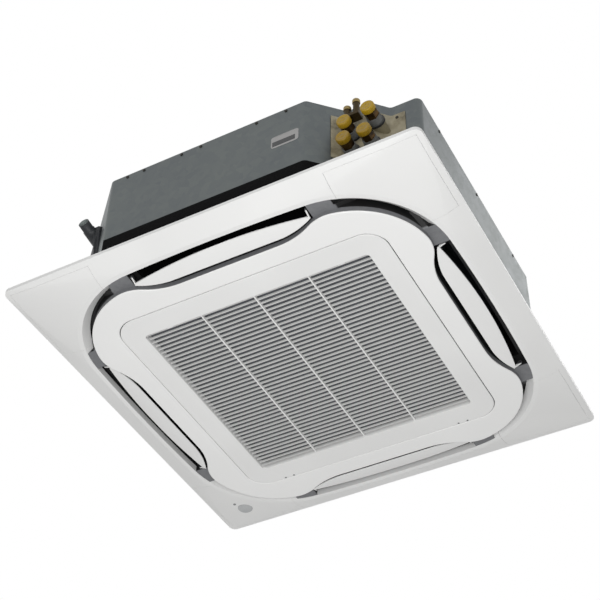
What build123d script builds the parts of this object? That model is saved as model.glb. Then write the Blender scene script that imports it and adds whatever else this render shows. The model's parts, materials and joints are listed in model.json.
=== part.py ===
"""Round-flow ceiling cassette: cabinet above the ceiling, decoration panel below it.

Millimetres, +Z up. The origin is the centre of the four hanger slots, so the ceiling plane lies below it.
The piping corner is at +X -Y. "Across" is the distance from the centre towards a side, "along" runs with it.
"""
from build123d import *
from math import acos, atan2, cos, degrees, radians, sin, sqrt, tan
import os

os.makedirs("parts", exist_ok=True)

# ---------------------------------------------------------------- driving dimensions
# Levels named *_height are above the ceiling plane, levels named *_drop are below it.
hanger_height = 130.0
hanger_spacing_x = 780.0
hanger_spacing_y = 680.0
hanger_slot_width = 12.0
hanger_slot_length = 26.0
hanger_plate = 2.5

# decoration panel
panel_half = 475.0
panel_corner_radius = 16.0
rim_drop = 8.0
lip_drop = 28.0
lip_width = 10.0
panel_wall = 2.5
slot_wall_height = 16.0
face_drop = 41.0
face_thickness = 3.0
panel_edge_radius = 2.0
cover_seam = 268.0
cover_border = 12.0
seam_gap = 0.5

# slot between the inner panel and the outer frame
slot_corner_centre = 213.0
slot_inner_radius = 174.0
slot_width = 22.0
slot_outer_shift = 19.0
slot_outer_bow = 4.13
slot_shoulder_radius = 80.0
slot_valley_radius = 160.0
slot_shoulder_angle = 10.6
slot_shoulder_fall = 30.4
guide_run = 15.0
guide_rise = 15.0

# grey core behind the slot
core_wall = 2.0
core_setback = 0.8
core_flange = 3.0
core_flange_half = 445.0
core_flange_radius = 30.0
core_opening_half = 295.0
core_opening_radius = 45.0
duct_setback = 15.0
bridge_start = 205.0
bridge_length = 50.0
bridge_drop = 27.0
bridge_skin = 1.5
bridge_wall = 6.0
tongue_overlap = 2.0
ramp_length = 36.0
ramp_angle = 30.0

# suction grille and filter
grille_half = 309.5
grille_radius = 49.0
grille_gap = 1.5
grille_edge_radius = 1.0
slat_field_half_x = 262.0
slat_field_half_y = 256.0
slat_field_radius = 8.0
slat_count = 42
slat_pitch = 12.15
slat_thickness = 2.0
slat_recess = 6.5
slat_depth = 4.5
rib_spacing = 125.0
rib_width = 3.0
rib_recess = 4.0
skirt_wall = 2.5
skirt_height = 21.0
hinge_across = 306.0
hinge_drop = 39.5
hinge_along = 220.0
hinge_knuckle_length = 17.0
hinge_pin_radius = 0.7
hinge_arm_width = 4.0
hinge_arm_radius = 1.5
hinge_play = 0.06
latch_along = 200.0
latch_width = 14.0
latch_thickness = 2.5
latch_end_gap = 0.2
latch_tab_reach = 4.8
latch_tab_thickness = 1.4
latch_tab_height = 5.0
latch_guide_width = 2.0
latch_guide_length = 40.0
latch_strap_length = 8.0
latch_strap_thickness = 1.5
filter_rail = 9.0
filter_overhang = 1.5
filter_height = 6.0
filter_bar = 2.5
filter_mesh_thickness = 0.8
filter_bars_each_way = 5

# flaps and their drives
flap_inner_gap = 11.0
flap_inner_straight = 115.0
flap_end_gap = 1.1
flap_inner_end_along = 202.0
flap_outer_gap = 16.0
flap_outer_end_gap = 30.0
flap_outer_end_along = 196.0
flap_inner_drop = 35.0
flap_outer_drop = 28.0
flap_camber = 1.0
flap_thickness = 2.5
flap_edge_radius = 0.9
pivot_gap = 20.0
pivot_drop = 21.0
pivot_radius = 2.5
pivot_play = 0.06
pivot_pin_length = 6.0
flap_arm_thickness = 2.6
flap_arm_radius = 4.5
flap_side_play = 0.6
motor_shift = 2.5
motor_drop = 16.0
motor_radius = 9.2
motor_length = 14.0
motor_play = 0.3
drive_tip_radius = 1.8
drive_tip_length = 4.0

# receiver window and status light
window_x = -389.0
window_y = 390.0
window_radius = 17.5
window_drop = 24.2
window_thickness = 6.0
window_edge_radius = 1.0
light_x = -404.0
light_y = 364.0
light_radius = 3.2
light_drop = 24.2
fit_gap = 0.3

# cabinet
cabinet_half = 418.0
cabinet_chamfer = 139.5
cabinet_height = 298.0
cabinet_lift = 4.0
cabinet_corner_radius = 14.0
sheet = 1.2
top_sheet = 1.5
top_rim_height = 14.0
pipe_corner_start = 203.0
pipe_corner_depth = 63.0
pipe_corner_flat_x = 325.0
pipe_corner_flat_y = 347.0
pipe_corner_inner_x = 352.0
pipe_corner_inner_y = 319.0
band_height = 106.0
band_thickness = 2.0
band_end_gap = 3.0
edge_screw_radius = 3.4
edge_screw_head = 1.6
edge_screw_shank = 2.0
edge_screw_length = 5.0
edge_screw_height = 291.0
front_screw_places = (-238.0, -195.0, -99.0, -51.0, 86.0, 157.0)
side_screw_places = (-220.0, -20.0, 190.0)

# hanger brackets
bracket_width = 52.0
bracket_reach = 46.0
bracket_web = 44.0
bracket_screw_radius = 4.5
bracket_screw_head = 3.0
bracket_screw_shank = 2.4
bracket_screw_length = 8.0
bracket_screw_spacing = 30.0
bracket_screw_fall = 26.0

# rating plate, pipe cover, water connections
plate_x = 154.0
plate_height = 206.5
plate_width = 61.0
plate_depth = 23.0
plate_thickness = 0.6
pipe_cover_sheet = 2.0
pipe_cover_left = 243.0
pipe_cover_right = 384.0
pipe_cover_bottom = 137.0
pipe_cover_top = 268.0
pipe_window_left = 262.0
pipe_window_right = 349.0
pipe_window_bottom = 142.0
pipe_window_top = 256.0
cooling_in = (282.0, 205.0)
cooling_out = (336.0, 218.5)
heating_in = (280.0, 154.5)
heating_out = (326.0, 154.5)
connection_setback = 17.0
pipe_cover_screw_x = 366.0
pipe_cover_screw_height = 256.0
pipe_radius = 10.0
pipe_wall = 1.2
pipe_hole_gap = 1.5
spigot_radius = 12.0
spigot_length = 8.0
hex_radius = 14.5
hex_length = 15.0
cap_radius = 15.5
cap_thickness = 2.5
cap_gap = 0.4
cap_edge_radius = 1.5
collar_radius = 15.5
collar_ring_radius = 18.5
collar_ring_setback = 41.0
collar_ring_length = 5.0
header_across = 300.0
header_radius = 12.0
header_low = 75.0
header_middle = 181.0
header_spacing = 6.0
header_top = 275.0
header_shift = 12.0
feeder_radius = 4.0
feeder_count = 3
vent_places = {"cooling": (285.0, 248.0), "heating": (305.5, 261.0)}
vent_setback = 13.0
vent_block_half = 8.0
vent_block_thickness = 8.0
vent_block_bottom = 221.0
vent_body_radius = 7.0
vent_screw_radius = 8.5
vent_screw_length = 10.0
vent_screw_groove = 1.6
vent_stem_radius = 2.5
vent_stem_length = 8.0

# heat exchanger
coil_air_gap = 88.0
coil_depth = 40.0
coil_radius = 90.0
coil_foot = 40.0
coil_top = 285.0
coil_end = 215.0
coil_plate = 1.5
coil_plate_lip = 3.0

# bell mouth, fan and motor
bell_throat = 165.0
bell_mouth_radius = 200.0
bell_sheet = 2.0
bell_flange_height = 7.7
bell_top = 88.0
bell_flange_half = 284.7
fan_radius = 250.0
fan_eye = 172.0
fan_eye_height = 80.0
fan_shroud_bend = (192.0, 118.0)
fan_shroud_height = 135.0
fan_back_height = 228.0
fan_skin = 2.0
fan_cone_radius = 118.0
fan_cone_foot = 60.0
fan_hub_radius = 24.0
fan_hub_height = 150.0
fan_hub_length = 22.0
blade_count = 8
blade_thickness = 4.0
blade_start = 180.0
blade_sweep = 34.0
blade_bow = 9.0
shaft_radius = 6.0
shaft_tip = 138.0
shaft_top = 228.0
shaft_play = 0.05
nut_radius = 10.0
nut_length = 8.0
fan_motor_radius = 70.0
fan_motor_bottom = 202.0
fan_motor_top = 278.0
fan_motor_edge = 6.0
motor_flange_radius = 95.0
motor_flange = 5.0
mount_circle = 84.0
mount_radius = 8.0
mount_waist = 6.0

# drain pan, pump and drain outlet
pan_top = 62.0
pan_inner_half = 262.0
pan_inner_radius = 60.0
pan_step_height = 10.0
pan_channel_gap = 3.0
pan_clearance = 0.5
duct_inner = 350.0
duct_outer = 404.0
duct_half_length = 195.0
duct_radius = 15.0
sump_inner_gap = 36.0
sump_outer_gap = 26.0
sump_slide_low = -62.0
sump_slide_high = 48.0
pump_gap = 9.2
pump_radius = 24.0
pump_top = 150.0
pump_cap_radius = 14.0
pump_cap_height = 6.0
float_slide = -44.0
float_gap = 19.7
float_radius = 13.0
float_height = 18.0
float_stem_radius = 3.0
float_stem_top = 110.0
float_foot_radius = 9.0
float_foot = 4.0
float_play = 0.4
drain_slide = 20.0
drain_height = 229.0
drain_plate_thickness = 8.0
drain_plate_back = 12.0
drain_plate_reach = 90.0
drain_plate_bottom = 150.0
drain_plate_top = 243.0
drain_plate_corner = 3.0
drain_radius = 12.5
drain_wall = 2.5
drain_length = 50.0
drain_seat_length = 20.0
drain_collar_radius = 14.0
drain_slope = 9.0
drain_spigot_length = 6.0
hose_radius = 8.0
hose_wall = 1.5
hose_bend = 16.0

# control box and cable gland
box_half_length = 140.0
box_inner = 208.0
box_outer = 257.0
box_drop = 2.0
box_height = 44.0
box_sheet = 1.2
box_lid = 1.5
box_ear = 15.0
box_ear_width = 20.0
box_clearance = 0.5
board_margin = 8.0
board_thickness = 1.6
board_height = 20.0
board_post_radius = 3.0
board_post_inset = 6.0
board_blocks = ((-95.0, 36.0, 24.0, 14.0), (-50.0, 18.0, 18.0, 12.0), (-24.0, 18.0, 18.0, 12.0),
                (20.0, 44.0, 8.0, 9.0), (85.0, 50.0, 12.0, 10.0))
gland_x = 150.0
gland_height = 250.0
gland_radius = 11.0
gland_length = 16.0
gland_nut_radius = 16.0
gland_nut_length = 5.0
gland_bore = 8.0

# panel fixing
panel_screw_place = 318.0
panel_screw_radius = 4.5
panel_screw_head = 4.0
panel_screw_shank = 2.4
panel_screw_length = 14.0
screw_gap = 0.25
gasket_width = 13.5
gasket_setback = 0.2

# ---------------------------------------------------------------- worked out from them
ceiling = -hanger_height
slot_outer_centre = slot_corner_centre - slot_outer_shift
slot_outer_radius = slot_inner_radius + slot_width + sqrt(2) * slot_outer_shift
slot_outer_half = slot_outer_centre + slot_outer_radius + slot_outer_bow
shoulder_reach = slot_inner_radius - slot_shoulder_radius
shoulder_along = slot_corner_centre + shoulder_reach * sin(radians(slot_shoulder_angle))
shoulder_peak = slot_corner_centre + shoulder_reach * cos(radians(slot_shoulder_angle)) + slot_shoulder_radius
slot_inner_half = shoulder_peak - slot_shoulder_fall
slot_bend_radii = slot_shoulder_radius + slot_valley_radius
slot_bend_angle = degrees(acos(1 - slot_shoulder_fall / slot_bend_radii))
slot_straight = shoulder_along - slot_bend_radii * sin(radians(slot_bend_angle))
flap_inner_across = slot_inner_half + flap_inner_gap
flap_inner_end_across = shoulder_peak + flap_end_gap
flap_outer_across = slot_outer_half - flap_outer_gap
flap_outer_end_across = slot_outer_half - flap_outer_end_gap
pivot_across = slot_outer_half - pivot_gap
motor_across = pivot_across - motor_shift
seam_half = grille_half + grille_gap
seam_radius = grille_radius + grille_gap
grille_top_drop = face_drop - face_thickness
skirt_top_drop = face_drop - skirt_height
bridge_end = bridge_start + bridge_length
bridge_middle = bridge_start + bridge_length / 2
motor_start = bridge_start + bridge_wall + motor_play
motor_end = motor_start + motor_length
filter_half_x = slat_field_half_x + skirt_wall + filter_overhang
filter_half_y = slat_field_half_y + skirt_wall + filter_overhang
skirt_outer_y = slat_field_half_y + skirt_wall
latch_height = fit_gap - grille_top_drop
hinge_arm_offset = (hinge_knuckle_length + hinge_arm_width) / 2 + fit_gap
flap_arm_face = flap_inner_end_along - flap_edge_radius
cabinet_cut = cabinet_half - cabinet_chamfer
hanger_slide = (hanger_spacing_x - hanger_spacing_y) / (2 * sqrt(2))
connection_face = cabinet_half - connection_setback
collar_ring_across = connection_face - collar_ring_setback
vent_across = connection_face - vent_setback
cap_front = connection_face - cap_thickness - cap_gap
spigot_back = cap_front - spigot_length
hex_back = spigot_back - hex_length
drain_cone = drain_collar_radius - drain_radius
drain_collar_end = drain_length - drain_seat_length - drain_cone
shell_top = cabinet_height - top_sheet
slot_pad_width = 2 * (panel_half - pivot_across)
chamfer_across = (2 * cabinet_half - cabinet_chamfer) / sqrt(2)
coil_half = cabinet_half - coil_air_gap
coil_corner = sqrt(2) * (coil_half - coil_radius)
pump_diagonal = coil_corner + sqrt((coil_radius + pump_gap + pump_radius) ** 2 - drain_slide**2)
float_diagonal = coil_corner + sqrt((coil_radius + float_gap + float_radius) ** 2 - float_slide**2)
sump_inner = pump_diagonal - sump_inner_gap
sump_outer = pump_diagonal + sump_outer_gap


def level(height):
    """Horizontal work plane at a height above the ceiling plane."""
    return Plane.XY.offset(ceiling + height)


def turned(x, y, quarter):
    """Point turned about Z by a number of quarter turns."""
    for _ in range(quarter):
        x, y = -y, x
    return (x, y)


def outer_contour(grow=0.0):
    """Outer edge of the slot: four bowed sides and four round corners, all tangent."""
    corner_radius = slot_outer_radius + grow
    reach = corner_radius + slot_outer_bow
    centre = slot_outer_centre
    side_radius = (centre**2 + reach**2 - corner_radius**2) / (2 * slot_outer_bow)
    side_centre = centre + reach - side_radius
    side_angle = degrees(atan2(centre, centre - side_centre))
    with BuildSketch(mode=Mode.PRIVATE) as sketch:
        with BuildLine():
            for quarter in range(4):
                start = 90 * quarter
                CenterArc(turned(side_centre, 0, quarter), side_radius, start - side_angle, 2 * side_angle)
                CenterArc(turned(centre, centre, quarter), corner_radius, start + side_angle,
                          90 - 2 * side_angle)
        make_face()
    return sketch.sketch


def inner_contour(grow=0.0):
    """Inner edge of the slot: straight sides that swell into four round corners."""
    half = slot_inner_half + grow
    lean = slot_shoulder_angle
    bend = slot_bend_angle
    valley = slot_inner_half + slot_valley_radius
    shoulder = shoulder_peak - slot_shoulder_radius
    with BuildSketch(mode=Mode.PRIVATE) as sketch:
        with BuildLine():
            for quarter in range(4):
                start = 90 * quarter
                Line(turned(half, -slot_straight, quarter), turned(half, slot_straight, quarter))
                CenterArc(turned(valley, slot_straight, quarter), slot_valley_radius - grow,
                          start + 180, -bend)
                CenterArc(turned(shoulder, shoulder_along, quarter), slot_shoulder_radius + grow,
                          start - bend, bend + lean)
                CenterArc(turned(slot_corner_centre, slot_corner_centre, quarter), slot_inner_radius + grow,
                          start + lean, 90 - 2 * lean)
                CenterArc(turned(shoulder_along, shoulder, quarter), slot_shoulder_radius + grow,
                          start + 90 - lean, bend + lean)
                CenterArc(turned(slot_straight, valley, quarter), slot_valley_radius - grow,
                          start - 90 + bend, -bend)
        make_face()
    return sketch.sketch


def rim_outline(inset=0.0):
    """Outline of the panel's rim, drawn side by side and corner by corner like the slot."""
    half = panel_half - inset
    radius = panel_corner_radius - inset
    with BuildSketch(mode=Mode.PRIVATE) as sketch:
        with BuildLine():
            for quarter in range(4):
                Line(turned(half, radius - half, quarter), turned(half, half - radius, quarter))
                CenterArc(turned(half - radius, half - radius, quarter), radius, 90 * quarter, 90)
        make_face()
    return sketch.sketch


def cabinet_outline(grow=0.0):
    """Plan of the cabinet: a square with three cut corners and the recessed piping corner."""
    half = cabinet_half
    cut = cabinet_half - cabinet_chamfer
    points = (
        (half, -pipe_corner_inner_y), (half, cut), (cut, half), (-cut, half), (-half, cut),
        (-half, -cut), (-cut, -half), (pipe_corner_start, -half),
        (pipe_corner_start + pipe_corner_depth, pipe_corner_depth - half),
        (pipe_corner_flat_x, -pipe_corner_flat_y), (pipe_corner_inner_x, -pipe_corner_inner_y),
    )
    with BuildSketch(mode=Mode.PRIVATE) as sketch:
        Polygon(*points, align=None)
        fillet(sketch.vertices(), cabinet_corner_radius)
        if grow:
            offset(amount=grow)
    return sketch.sketch


def slot_ring(inner_grow=0.0, outer_grow=0.0):
    """Plan of the slot between its two contours."""
    with BuildSketch(mode=Mode.PRIVATE) as sketch:
        add(outer_contour(outer_grow))
        add(inner_contour(inner_grow), mode=Mode.SUBTRACT)
    return sketch.sketch


def side_pads(length, *places):
    """Plan of pads that cross the slot at the given places along each of the four sides."""
    with BuildSketch(mode=Mode.PRIVATE) as sketch:
        with PolarLocations(0, 4):
            with Locations(*[(pivot_across, place) for place in places]):
                Rectangle(slot_pad_width, length)
    return sketch.sketch


def slat_field(grow=0.0):
    """Plan of the opening that the slats fill."""
    with BuildSketch(mode=Mode.PRIVATE) as sketch:
        RectangleRounded(2 * (slat_field_half_x + grow), 2 * (slat_field_half_y + grow),
                         slat_field_radius + grow)
    return sketch.sketch


def square_ring(half, width, radius):
    """Plan of a rounded square ring, measured to its outer edge."""
    with BuildSketch(mode=Mode.PRIVATE) as sketch:
        RectangleRounded(2 * half, 2 * half, radius)
        RectangleRounded(2 * (half - width), 2 * (half - width), radius - width, mode=Mode.SUBTRACT)
    return sketch.sketch


def side_plane(along, across=0.0, drop=0.0):
    """Upright plane across the +X side at a place along it; its own axes are across and up."""
    return Plane(origin=(across, along, ceiling - drop), x_dir=(1, 0, 0), z_dir=(0, -1, 0))


def chamfer_plane(height, slide=0.0, stand_off=0.0, sign_x=1, sign_y=1):
    """Plane on a cut corner of the cabinet, facing out; its own axes are along the corner and up."""
    diagonal = (chamfer_across + stand_off) / sqrt(2)
    shift = slide / sqrt(2)
    origin = (sign_x * (diagonal + shift), sign_y * (diagonal - shift), ceiling + height)
    return Plane(origin=origin, x_dir=(-sign_y, sign_x, 0), z_dir=(sign_x, sign_y, 0))


def front_plane(x, height, across):
    """Plane facing the piping side (-Y)."""
    return Plane(origin=(x, -across, ceiling + height), x_dir=(1, 0, 0), z_dir=(0, -1, 0))


def right_plane(y, height, across):
    """Plane facing the +X side."""
    return Plane(origin=(across, y, ceiling + height), x_dir=(0, 1, 0), z_dir=(1, 0, 0))


def rear_plane(x, height, across):
    """Plane facing the +Y side."""
    return Plane(origin=(x, across, ceiling + height), x_dir=(-1, 0, 0), z_dir=(0, 1, 0))


def save(piece, name):
    """Label a finished piece and write its STEP file."""
    piece.part.label = name
    export_step(piece.part, f"parts/{name}.step")


# ---------------------------------------------------------------- decoration panel
# Sloped strip that guides the air in the four corners, between the bridge blocks.
guide_start = bridge_end + fit_gap
guide_square = panel_half - guide_start
with BuildPart() as corner_guides:
    with BuildSketch(level(-lip_drop)):
        add(outer_contour(panel_wall))
    with BuildSketch(level(guide_rise - lip_drop)):
        add(outer_contour(panel_wall - guide_run))
    loft(ruled=True)
    with BuildSketch(level(-lip_drop)):
        add(outer_contour())
    with BuildSketch(level(guide_rise - lip_drop)):
        add(outer_contour(-guide_run))
    loft(ruled=True, mode=Mode.SUBTRACT)
    with BuildSketch(level(-lip_drop)):
        with GridLocations(2 * guide_start + guide_square, 2 * guide_start + guide_square, 2, 2):
            Rectangle(guide_square, guide_square)
    extrude(amount=guide_rise, mode=Mode.INTERSECT)

# One sloped shell is cut into the outer frame and its four corner covers.
with BuildPart() as panel_skin:
    with BuildSketch(level(-lip_drop)):
        add(outer_contour(lip_width))
    with BuildSketch(level(-rim_drop)):
        add(rim_outline())
    loft(ruled=True)
    with BuildSketch(level(-rim_drop)):
        add(rim_outline())
    extrude(amount=rim_drop)
    with BuildSketch(level(panel_wall - lip_drop)):
        add(outer_contour(lip_width))
    with BuildSketch(level(panel_wall - rim_drop)):
        add(rim_outline(panel_wall))
    loft(ruled=True, mode=Mode.SUBTRACT)
    with BuildSketch(level(panel_wall - rim_drop)):
        add(rim_outline(panel_wall))
    extrude(amount=rim_drop, mode=Mode.SUBTRACT)
    with BuildSketch(level(-lip_drop)):
        add(outer_contour(panel_wall))
    extrude(amount=slot_wall_height)
    with BuildSketch(level(-lip_drop)):
        add(outer_contour())
    extrude(amount=lip_drop, mode=Mode.SUBTRACT)
    add(corner_guides.part)

cover_reach = panel_half - cover_border - cover_seam
cover_middle = cover_seam + cover_reach / 2
corner_signs = {"pipe": (1, -1), "plain": (1, 1), "receiver": (-1, 1), "drain": (-1, -1)}

with BuildPart() as outer_frame:
    add(panel_skin.part)
    with BuildSketch(level(-lip_drop)):
        with Locations(*[(cover_middle * sx, cover_middle * sy) for sx, sy in corner_signs.values()]):
            Rectangle(cover_reach, cover_reach)
    extrude(amount=lip_drop, mode=Mode.SUBTRACT)
save(outer_frame, "outer_frame")

for corner, (sign_x, sign_y) in corner_signs.items():
    with BuildPart() as corner_cover:
        add(panel_skin.part)
        with BuildSketch(level(-lip_drop)):
            with Locations((cover_middle * sign_x, cover_middle * sign_y)):
                Rectangle(cover_reach - 2 * seam_gap, cover_reach - 2 * seam_gap)
        extrude(amount=lip_drop, mode=Mode.INTERSECT)
        if corner == "receiver":
            with BuildSketch(level(-lip_drop)):
                with Locations((window_x, window_y)):
                    Circle(window_radius + fit_gap)
                with Locations((light_x, light_y)):
                    Circle(light_radius + fit_gap)
            extrude(amount=lip_drop, mode=Mode.SUBTRACT)
    save(corner_cover, f"corner_cover_{corner}")

with BuildPart() as receiver_window:
    with BuildSketch(level(-window_drop)):
        with Locations((window_x, window_y)):
            Circle(window_radius)
    extrude(amount=window_thickness)
    fillet(receiver_window.edges().group_by(Axis.Z)[0], window_edge_radius)
save(receiver_window, "receiver_window")

with BuildPart() as status_light:
    with BuildSketch(level(-light_drop)):
        with Locations((light_x, light_y)):
            Circle(light_radius)
    extrude(amount=window_thickness)
save(status_light, "status_light")

# Ramp inside a corner opening, next to a bridge block: a wedge cut from the slot's own plan.
with BuildPart() as end_ramp:
    with BuildSketch(level(-bridge_drop)):
        add(slot_ring(-core_setback - core_wall / 2, -guide_run - fit_gap))
        with Locations((pivot_across, bridge_end + ramp_length / 2)):
            Rectangle(slot_pad_width, ramp_length, mode=Mode.INTERSECT)
    extrude(amount=bridge_drop)
    ramp_normal = (0, sin(radians(ramp_angle)), -cos(radians(ramp_angle)))
    split(bisect_by=Plane(origin=(0, bridge_end, ceiling - bridge_drop), x_dir=(1, 0, 0), z_dir=ramp_normal),
          keep=Keep.BOTTOM)

with BuildPart() as panel_core:
    with BuildSketch(level(-core_flange)):
        RectangleRounded(2 * core_flange_half, 2 * core_flange_half, core_flange_radius)
        with BuildSketch(mode=Mode.PRIVATE) as outlets:
            add(slot_ring(-core_setback, -duct_setback))
            add(side_pads(2 * duct_half_length, 0), mode=Mode.INTERSECT)
        add(outlets.sketch, mode=Mode.SUBTRACT)
        RectangleRounded(2 * core_opening_half, 2 * core_opening_half, core_opening_radius,
                         mode=Mode.SUBTRACT)
        with GridLocations(2 * panel_screw_place, 2 * panel_screw_place, 2, 2):
            Circle(panel_screw_shank + screw_gap, mode=Mode.SUBTRACT)
    extrude(amount=core_flange)
    # wall under the inner panel, and the wall above the white slot wall
    with BuildSketch(level(-grille_top_drop)):
        add(inner_contour(-core_setback))
        add(inner_contour(-core_setback - core_wall), mode=Mode.SUBTRACT)
    extrude(amount=grille_top_drop)
    with BuildSketch(level(slot_wall_height - lip_drop - tongue_overlap)):
        add(outer_contour(panel_wall + fit_gap + core_wall))
        add(outer_contour(panel_wall + fit_gap), mode=Mode.SUBTRACT)
    extrude(amount=lip_drop + tongue_overlap - slot_wall_height)
    # eight bridge blocks; those at the driven ends are open on top for the motors
    with BuildSketch(level(-bridge_drop)):
        add(slot_ring(-core_setback - core_wall / 2, -fit_gap))
        add(side_pads(bridge_length, -bridge_middle, bridge_middle), mode=Mode.INTERSECT)
    extrude(amount=bridge_drop)
    with BuildSketch(level(bridge_skin - bridge_drop)):
        with PolarLocations(0, 4):
            with Locations((motor_across, (motor_start + motor_end) / 2)):
                Rectangle(2 * (motor_radius + motor_play), motor_length + 2 * motor_play)
    extrude(amount=bridge_drop, mode=Mode.SUBTRACT)
    # pivot holes
    with PolarLocations(0, 4):
        with Locations((pivot_across, bridge_start, ceiling - pivot_drop)):
            Cylinder(pivot_radius + pivot_play, 2 * (bridge_wall + motor_play), rotation=(90, 0, 0),
                     mode=Mode.SUBTRACT)
        with Locations((pivot_across, -bridge_start, ceiling - pivot_drop)):
            Cylinder(pivot_radius + pivot_play, 2 * (pivot_pin_length + flap_side_play), rotation=(90, 0, 0),
                     mode=Mode.SUBTRACT)
    # ramps in the corner openings
    for quarter in range(4):
        add(end_ramp.part, rotation=(0, 0, 90 * quarter))
        add(end_ramp.part.mirror(Plane.XZ), rotation=(0, 0, 90 * quarter))
    # arms that hold the grille's hinge pins
    for along in (-hinge_along, hinge_along):
        for end in (-1, 1):
            arm_x = along + end * hinge_arm_offset
            with BuildSketch(level(-hinge_drop)):
                with Locations((arm_x, hinge_across)):
                    Rectangle(hinge_arm_width, 2 * hinge_arm_radius)
            extrude(amount=hinge_drop - core_flange / 2)
            with Locations((arm_x, hinge_across, ceiling - hinge_drop)):
                Cylinder(hinge_arm_radius, hinge_arm_width, rotation=(0, 90, 0))
                Cylinder(hinge_pin_radius, hinge_arm_width, rotation=(0, 90, 0), mode=Mode.SUBTRACT)
save(panel_core, "panel_core")

with BuildPart() as inner_panel:
    with BuildSketch(level(-face_drop)):
        add(inner_contour())
        RectangleRounded(2 * seam_half, 2 * seam_half, seam_radius, mode=Mode.SUBTRACT)
    extrude(amount=face_thickness)
    fillet(inner_panel.edges().group_by(Axis.Z)[0], panel_edge_radius)
save(inner_panel, "inner_panel")

with BuildPart() as suction_grille:
    with BuildSketch(level(-face_drop)):
        RectangleRounded(2 * grille_half, 2 * grille_half, grille_radius)
        add(slat_field(), mode=Mode.SUBTRACT)
    extrude(amount=face_thickness)
    fillet(suction_grille.edges().group_by(Axis.Z)[0], grille_edge_radius)
    with BuildSketch(level(-grille_top_drop)):
        add(slat_field(skirt_wall))
        add(slat_field(), mode=Mode.SUBTRACT)
    extrude(amount=skirt_height - face_thickness)
    with BuildSketch(level(slat_recess - face_drop)):
        with GridLocations(0, slat_pitch, 1, slat_count):
            Rectangle(2 * slat_field_half_x + skirt_wall, slat_thickness)
    extrude(amount=slat_depth)
    with BuildSketch(level(rib_recess - face_drop)):
        with GridLocations(rib_spacing, 0, 3, 1):
            Rectangle(rib_width, 2 * slat_field_half_y + skirt_wall)
    extrude(amount=slat_recess + slat_depth - rib_recess)
    # the rear edge is its own hinge knuckle: notches for the arms, bores for the pins
    for along in (-hinge_along, hinge_along):
        with BuildSketch(level(-face_drop)):
            with Locations((along - hinge_arm_offset, grille_half), (along + hinge_arm_offset, grille_half)):
                Rectangle(hinge_arm_width + 2 * fit_gap,
                          2 * (grille_half - hinge_across + hinge_arm_radius + fit_gap))
        extrude(amount=face_thickness, mode=Mode.SUBTRACT)
        with Locations((along, hinge_across, ceiling - hinge_drop)):
            Cylinder(hinge_pin_radius + hinge_play, hinge_knuckle_length, rotation=(0, 90, 0),
                     mode=Mode.SUBTRACT)
    # guides, straps and skirt notches for the two latches
    guide_offset = latch_width / 2 + fit_gap + latch_guide_width / 2
    guide_height = latch_thickness + 2 * fit_gap
    guide_middle = -(grille_half + skirt_outer_y) / 2
    for along in (-latch_along, latch_along):
        with BuildSketch(level(-grille_top_drop)):
            with Locations((along - guide_offset, guide_middle), (along + guide_offset, guide_middle)):
                Rectangle(latch_guide_width, latch_guide_length)
        extrude(amount=guide_height)
        with BuildSketch(level(guide_height - grille_top_drop)):
            with Locations((along, guide_middle)):
                Rectangle(2 * guide_offset + latch_guide_width, latch_strap_length)
        extrude(amount=latch_strap_thickness)
        with BuildSketch(level(-grille_top_drop)):
            with Locations((along, -skirt_outer_y)):
                Rectangle(latch_width + 2 * fit_gap, 2 * skirt_wall)
        extrude(amount=latch_tab_height + 2 * fit_gap, mode=Mode.SUBTRACT)
save(suction_grille, "suction_grille")

with BuildPart() as grille_hinge_pins:
    with Locations((-hinge_along, hinge_across, ceiling - hinge_drop),
                   (hinge_along, hinge_across, ceiling - hinge_drop)):
        Cylinder(hinge_pin_radius, 2 * hinge_arm_offset + hinge_arm_width, rotation=(0, 90, 0))
save(grille_hinge_pins, "grille_hinge_pins")

latch_tip = grille_half - latch_end_gap
latch_tab = slat_field_half_y - latch_tab_reach
for name, along in {"grille_latch_left": -latch_along, "grille_latch_right": latch_along}.items():
    with BuildPart() as latch:
        with BuildSketch(level(latch_height)):
            with Locations((along, -(latch_tip + latch_tab) / 2)):
                Rectangle(latch_width, latch_tip - latch_tab)
        extrude(amount=latch_thickness)
        with BuildSketch(level(latch_height)):
            with Locations((along, -latch_tab - latch_tab_thickness / 2)):
                Rectangle(latch_width, latch_tab_thickness)
        extrude(amount=latch_tab_height)
    save(latch, name)

with BuildPart() as air_filter:
    with BuildSketch(level(fit_gap - skirt_top_drop)):
        Rectangle(2 * filter_half_x, 2 * filter_half_y)
        Rectangle(2 * (filter_half_x - filter_rail), 2 * (filter_half_y - filter_rail), mode=Mode.SUBTRACT)
        for step in range(1, filter_bars_each_way + 1):
            share = 2 * step / (filter_bars_each_way + 1) - 1
            with Locations((share * filter_half_x, 0)):
                Rectangle(filter_bar, 2 * filter_half_y)
            with Locations((0, share * filter_half_y)):
                Rectangle(2 * filter_half_x, filter_bar)
    extrude(amount=filter_height)
    with BuildSketch(level(fit_gap - skirt_top_drop)):
        Rectangle(2 * filter_half_x, 2 * filter_half_y)
    extrude(amount=filter_mesh_thickness)
save(air_filter, "air_filter")

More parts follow.
